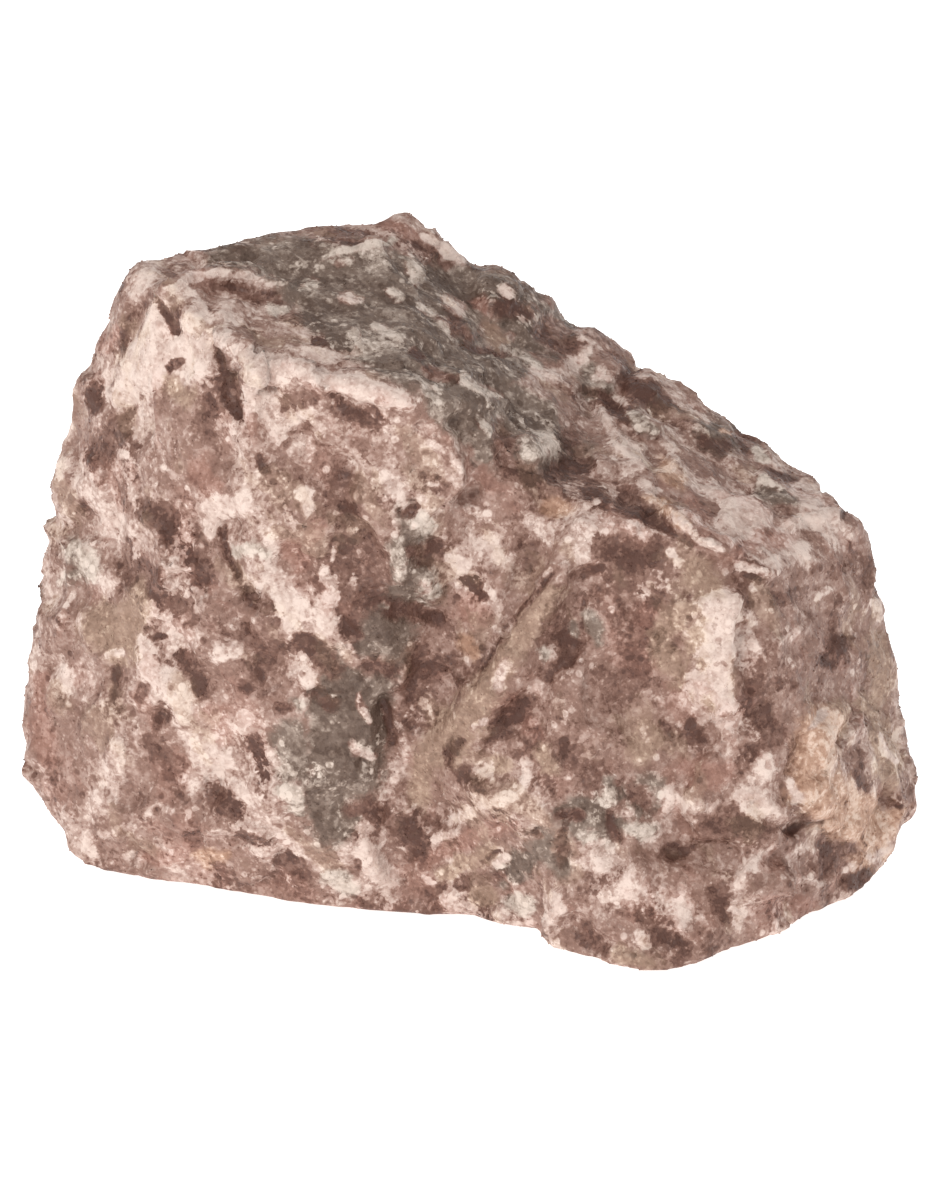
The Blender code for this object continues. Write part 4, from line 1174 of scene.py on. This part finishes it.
@dataclass(frozen=True)
class StoneSkin:
    """The stone's whole surface in small faces, with its fine relief and its map of minerals.

    Attributes:
        node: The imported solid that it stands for.
        face: The size of its faces.
        merge: How close the solid's loose corners are that are joined up.
        wear: How far the solid's facets are smoothed, and wear_rounds how often.
        reach: How far from its edge a mineral's mark is still measured.
        small: The half width of a mark from which it is no longer helped against its ragged edge.
        most_help: How many times its width a small mark counts at most.
        slope: The width of a raised mark's edge, in pixels.
        trend_reach: How far a trend goes on behind the edge of what the photograph shows.
        bend_sizes: The sizes of the bends that the marks get, and bends how far they go.
    """

    node: str = "stone"
    face: float = 0.42
    merge: float = 0.001
    wear: float = 0.5
    wear_rounds: int = 2
    reach: float = 3.0
    small: float = 1.2
    most_help: float = 4.0
    slope: float = 8.0
    trend_reach: float = 12.0
    bend_sizes: tuple = (4.2, 1.2)
    bends: tuple = (0.35, 0.3)

    def solid_copy(self) -> bpy.types.Mesh:
        """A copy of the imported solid's mesh in small even faces, with its loose triangles joined up."""
        piece = shown("solid_copy", bpy.data.objects[self.node].data.copy())
        weld = piece.modifiers.new("joined", "WELD")
        weld.merge_threshold = self.merge * MILLIMETRE
        even = piece.modifiers.new("even", "REMESH")
        even.mode = "VOXEL"
        even.voxel_size = self.face * MILLIMETRE
        worn = piece.modifiers.new("worn", "SMOOTH")
        worn.factor = self.wear
        worn.iterations = self.wear_rounds
        graph = bpy.context.evaluated_depsgraph_get()
        result = bpy.data.meshes.new_from_object(piece.evaluated_get(graph))
        bpy.data.objects.remove(piece)
        return result

    def corners(self, mesh: bpy.types.Mesh) -> np.ndarray:
        """The mesh's corners in metres, one in each row."""
        flat = np.zeros(len(mesh.vertices) * 3, dtype=np.float32)
        mesh.vertices.foreach_get("co", flat)
        return flat.reshape(-1, 3).astype(float)

    def store(self, mesh: bpy.types.Mesh, name: str, seen: np.ndarray, *values: np.ndarray) -> None:
        """Lays a number on each corner.

        Args:
            mesh: The skin.
            name: What the number is called.
            seen: Which corners the photograph shows.
            values: The numbers of the corners that it shows, and those of the others.
        """
        whole = np.zeros(len(seen), dtype=np.float32)
        whole[seen], whole[~seen] = values
        mesh.attributes.new(name, "FLOAT", "POINT").data.foreach_set("value", whole)

    def visible(self, mesh: bpy.types.Mesh, sight: Sight) -> np.ndarray:
        """Which corners of the mesh the photograph shows."""
        corners = [vertex.co for vertex in mesh.vertices]
        skin = BVHTree.FromPolygons(corners, [face.vertices for face in mesh.polygons])
        camera = sight.place()
        seen = np.zeros(len(corners), dtype=bool)
        for index, corner in enumerate(corners):
            way = (camera - corner).normalized()
            seen[index] = skin.ray_cast(corner + way * self.face * MILLIMETRE, way)[0] is None
        return seen

    def nearest_seen(self, points: np.ndarray, seen: np.ndarray) -> tuple:
        """Finds the closest corner that shows to each one that doesn't.

        Args:
            points: The corners in metres, one in each row.
            seen: Which of them show.

        Returns:
            Its row among those that show, and how far away it is in millimetres.
        """
        tree = KDTree(int(seen.sum()))
        for index, point in enumerate(points[seen]):
            tree.insert(point, index)
        tree.balance()
        found = [tree.find(point) for point in points[~seen]]
        return np.array([row for _, row, _ in found]), np.array([gap for _, _, gap in found]) / MILLIMETRE

    def bent(self, places: np.ndarray, unit: float) -> np.ndarray:
        """Places moved about, so that marks laid on them look grown. The unit is in millimetres."""
        sizes, amounts = (tuple(v / unit for v in lengths) for lengths in (self.bend_sizes, self.bends))
        return wandered(places, sizes, amounts)

    def help(self, width: float) -> float:
        """How many times its half width a mark counts, so that its ragged edge doesn't eat it up."""
        return min(max(self.small / width, 1.0), self.most_help)

    def overlay(self, fields: dict, mineral: Mineral, inside: np.ndarray) -> None:
        """Lays one mark over the fields of all minerals."""
        for other, values in fields.items():
            if other is mineral:
                np.maximum(values, inside, out=values)
            else:
                np.minimum(values, -inside, out=values)

    def lay_ledges(self, mesh: bpy.types.Mesh, sight: Sight) -> None:
        """Lays the ridges and cracks on the mesh, as how far out each corner goes."""
        points = self.corners(mesh)
        seen = self.visible(mesh, sight)
        places = self.bent(sight.pixels(points[seen]), sight.pixel / MILLIMETRE)
        rise = np.zeros(len(places))
        for height, path in LEDGES:
            widest = max(point[-1] for point in path)
            rise += eased(depth_inside(places, path) / widest + 0.5, height)
        for mineral, paths in MARKS:
            for path in paths:
                rise += eased(depth_inside(places, path) / self.slope + 0.5, LOOKS[mineral].rise)
        nearest, gaps = self.nearest_seen(points, seen)
        self.store(mesh, LEDGE, seen, rise, rise[nearest] * np.clip(1.0 - gaps / self.reach, 0.0, 1.0))

    def lay_minerals(self, mesh: bpy.types.Mesh, sight: Sight) -> None:
        """Lays the minerals' marks and the trends on the mesh."""
        points = self.corners(mesh)
        seen = self.visible(mesh, sight)
        scale = sight.pixel / MILLIMETRE
        places = self.bent(sight.pixels(points[seen]), scale)
        fields = {mineral: np.full(len(places), -self.reach) for mineral in Mineral}
        for mineral, paths in MARKS:
            for path in paths:
                widest = max(point[-1] for point in path) * scale
                self.overlay(fields, mineral, depth_inside(places, path) * (self.help(widest) * scale))
        trends = {trend: np.zeros(len(places)) for trend in Trend}
        for trend, strength, fade, path in TRENDS:
            trends[trend] += eased(depth_inside(places, path) / fade + 0.5, strength)
        nearest, gaps = self.nearest_seen(points, seen)
        hidden = {mineral: values[nearest] - gaps for mineral, values in fields.items()}
        behind = self.bent(points[~seen] / MILLIMETRE, 1.0)
        for mineral, path in HiddenMarks().paths(behind, gaps):
            self.overlay(hidden, mineral, depth_inside(behind, path) * self.help(path[1][-1]))
        for mineral, values in fields.items():
            both = (np.clip(side, -self.reach, self.reach) for side in (values, hidden[mineral]))
            self.store(mesh, mineral.value, seen, *both)
        fade = np.clip(1.0 - gaps / self.trend_reach, 0.0, 1.0)
        for trend, values in trends.items():
            self.store(mesh, trend.value, seen, values, values[nearest] * fade)

    def build(self, sight: Sight, relief: Relief, finish: bpy.types.Material) -> bpy.types.Object:
        """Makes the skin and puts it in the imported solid's place."""
        mesh = self.solid_copy()
        self.lay_ledges(mesh, sight)
        mesh = relief.grown(mesh, "stone_skin", finish)
        self.lay_minerals(mesh, sight)
        mesh.shade_smooth()
        skin = shown("stone_skin", mesh)
        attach(skin, "root")
        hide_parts(self.node)
        return skin


@dataclass(frozen=True)
class Scatter(Growth):
    """Small crystals of one kind all over the skin.

    Attributes:
        name: What the piece is called.
        per_area: How many there are on a square millimetre.
        seed: Which chances are taken.
        small: The half width of the smallest, and large that of the largest.
        flat: Their thickness as a share of their width.
        tumble: How far they turn away from lying flat on the skin, in radians.
        slim: Their breadth as a share of their width.
        foot: How far above the ground the lowest stand.
    """

    name: str
    per_area: float
    seed: int
    small: float
    large: float
    flat: float
    tumble: float
    slim: float = 0.8
    foot: float = 1.0

    def tree(self) -> bpy.types.GeometryNodeTree:
        """Builds the tree: a crystal on each chosen point of the skin, turned by chance."""
        make = self.begin(self.name)
        given = make.add("NodeGroupInput").outputs
        place = make.add("GeometryNodeInputPosition").outputs[0]
        height = make.add("ShaderNodeSeparateXYZ", {0: place}).outputs["Z"]
        clear = make.maths("GREATER_THAN", height, make.maths("MULTIPLY", given["Foot"], MILLIMETRE))
        density = make.maths("MULTIPLY", clear, make.maths("DIVIDE", given["Per Area"], MILLIMETRE**2))
        inputs = {"Mesh": given["Geometry"], "Density": density, "Seed": given["Seed"]}
        points = make.add("GeometryNodeDistributePointsOnFaces", inputs).outputs
        crystal = make.add("GeometryNodeMeshIcoSphere", {"Radius": MILLIMETRE, "Subdivisions": 1})
        inputs = {"Min": (-1.0, -1.0, -math.pi), "Max": (1.0, 1.0, math.pi), "Seed": given["Seed"]}
        turn = make.add("FunctionNodeRandomValue", inputs, data_type="FLOAT_VECTOR").outputs[0]
        lean = make.add("ShaderNodeCombineXYZ", {0: given["Tumble"], 1: given["Tumble"], 2: 1.0}).outputs[0]
        turned = make.add("FunctionNodeEulerToRotation", {0: make.vector("MULTIPLY", turn, lean)})
        inputs = {0: points["Rotation"], 1: turned.outputs[0]}
        rotation = make.add("FunctionNodeRotateRotation", inputs, rotation_space="LOCAL").outputs[0]
        size = make.add("FunctionNodeRandomValue", data_type="FLOAT")
        for name, value in (("Min", given["Small"]), ("Max", given["Large"]), ("Seed", given["Seed"])):
            make.join(next(s for s in size.inputs if s.name == name and s.enabled), value)
        width = next(s for s in size.outputs if s.enabled)
        shape = make.add("ShaderNodeCombineXYZ", {0: 1.0, 1: given["Slim"], 2: given["Flat"]}).outputs[0]
        inputs = {"Points": points["Points"], "Instance": crystal.outputs[0]}
        inputs |= {"Rotation": rotation, "Scale": make.scaled(shape, width)}
        placed = make.add("GeometryNodeInstanceOnPoints", inputs)
        return self.end(make, placed.outputs[0], given["Finish"])

    def build(self, skin: bpy.types.Object, finish: bpy.types.Material) -> bpy.types.Object:
        """Spreads the crystals over the skin."""
        piece = shown(self.name, self.grown(skin.data.copy(), self.name, finish))
        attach(piece, "root")
        return piece


@dataclass(frozen=True)
class Studio:
    """A plain white floor and soft light from all round, as a product is photographed.

    Attributes:
        floor_side: The floor's side, in metres.
        floor_grey: How pale the floor is, and floor_glow how brightly it shines by itself.
        floor_rough: How dull it is.
        sky: How bright the light from all round is.
        key: The power of the large lamp at the upper left, in watts.
        key_size: That lamp's width, in metres.
        key_way: From what the camera looks at to the lamp, in metres.
    """

    floor_side: float = 6.0
    floor_grey: float = 0.92
    floor_glow: float = 0.85
    floor_rough: float = 0.9
    sky: float = 0.77
    key: float = 7.8
    key_size: float = 0.7
    key_way: tuple = (-0.45, -0.85, 0.75)

    def floor(self) -> bpy.types.Object:
        """Makes the floor."""
        half = self.floor_side / 2.0
        mesh = bpy.data.meshes.new("floor")
        corners = [(-half, -half, 0), (half, -half, 0), (half, half, 0), (-half, half, 0)]
        mesh.from_pydata(corners, [], [range(len(corners))])
        material = bpy.data.materials.new("floor_white")
        material.use_nodes = True
        shader = material.node_tree.nodes["Principled BSDF"].inputs
        shader["Base Color"].default_value = (self.floor_grey, self.floor_grey, self.floor_grey, 1.0)
        shader["Roughness"].default_value = self.floor_rough
        shader["Emission Color"].default_value = WHITE
        shader["Emission Strength"].default_value = self.floor_glow
        mesh.materials.append(material)
        floor = shown("floor", mesh)
        return floor

    def light(self, aim: Vector) -> None:
        """Lights the floor and the stone."""
        scene = bpy.context.scene
        scene.world = bpy.data.worlds.new("studio")
        scene.world.use_nodes = True
        background = scene.world.node_tree.nodes["Background"].inputs
        background["Color"].default_value = WHITE
        background["Strength"].default_value = self.sky
        lamp = bpy.data.lights.new("key", "AREA")
        lamp.energy = self.key
        lamp.shape = "DISK"
        lamp.size = self.key_size
        holder = shown("key", lamp)
        holder.location = aim + Vector(self.key_way)
        holder.rotation_euler = (holder.location - aim).to_track_quat("Z", "Y").to_euler()
        scene.view_settings.view_transform = "Standard"


def main() -> None:
    """Builds the studio and the stone."""
    sight = Sight()
    studio = Studio()
    studio.floor()
    studio.light(Vector(sight.aim))
    sight.camera()
    LOG.info("studio: floor, lights and camera")
    aventurine = AventurineFinish().material()
    skin = StoneSkin().build(sight, Relief(), aventurine)
    LOG.info("%s: %d faces", skin.name, len(skin.data.polygons))
    for scatter in (
        Scatter("quartz_grains", per_area=0.8, seed=3, small=0.06, large=0.15, flat=0.7, tumble=1.2),
        Scatter("mica_flakes", per_area=0.8, seed=8, small=0.06, large=0.14, flat=0.25, tumble=0.5),
    ):
        piece = scatter.build(skin, aventurine)
        LOG.info("%s: %d faces", piece.name, len(piece.data.polygons))


if __name__ == "__main__":
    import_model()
    main()
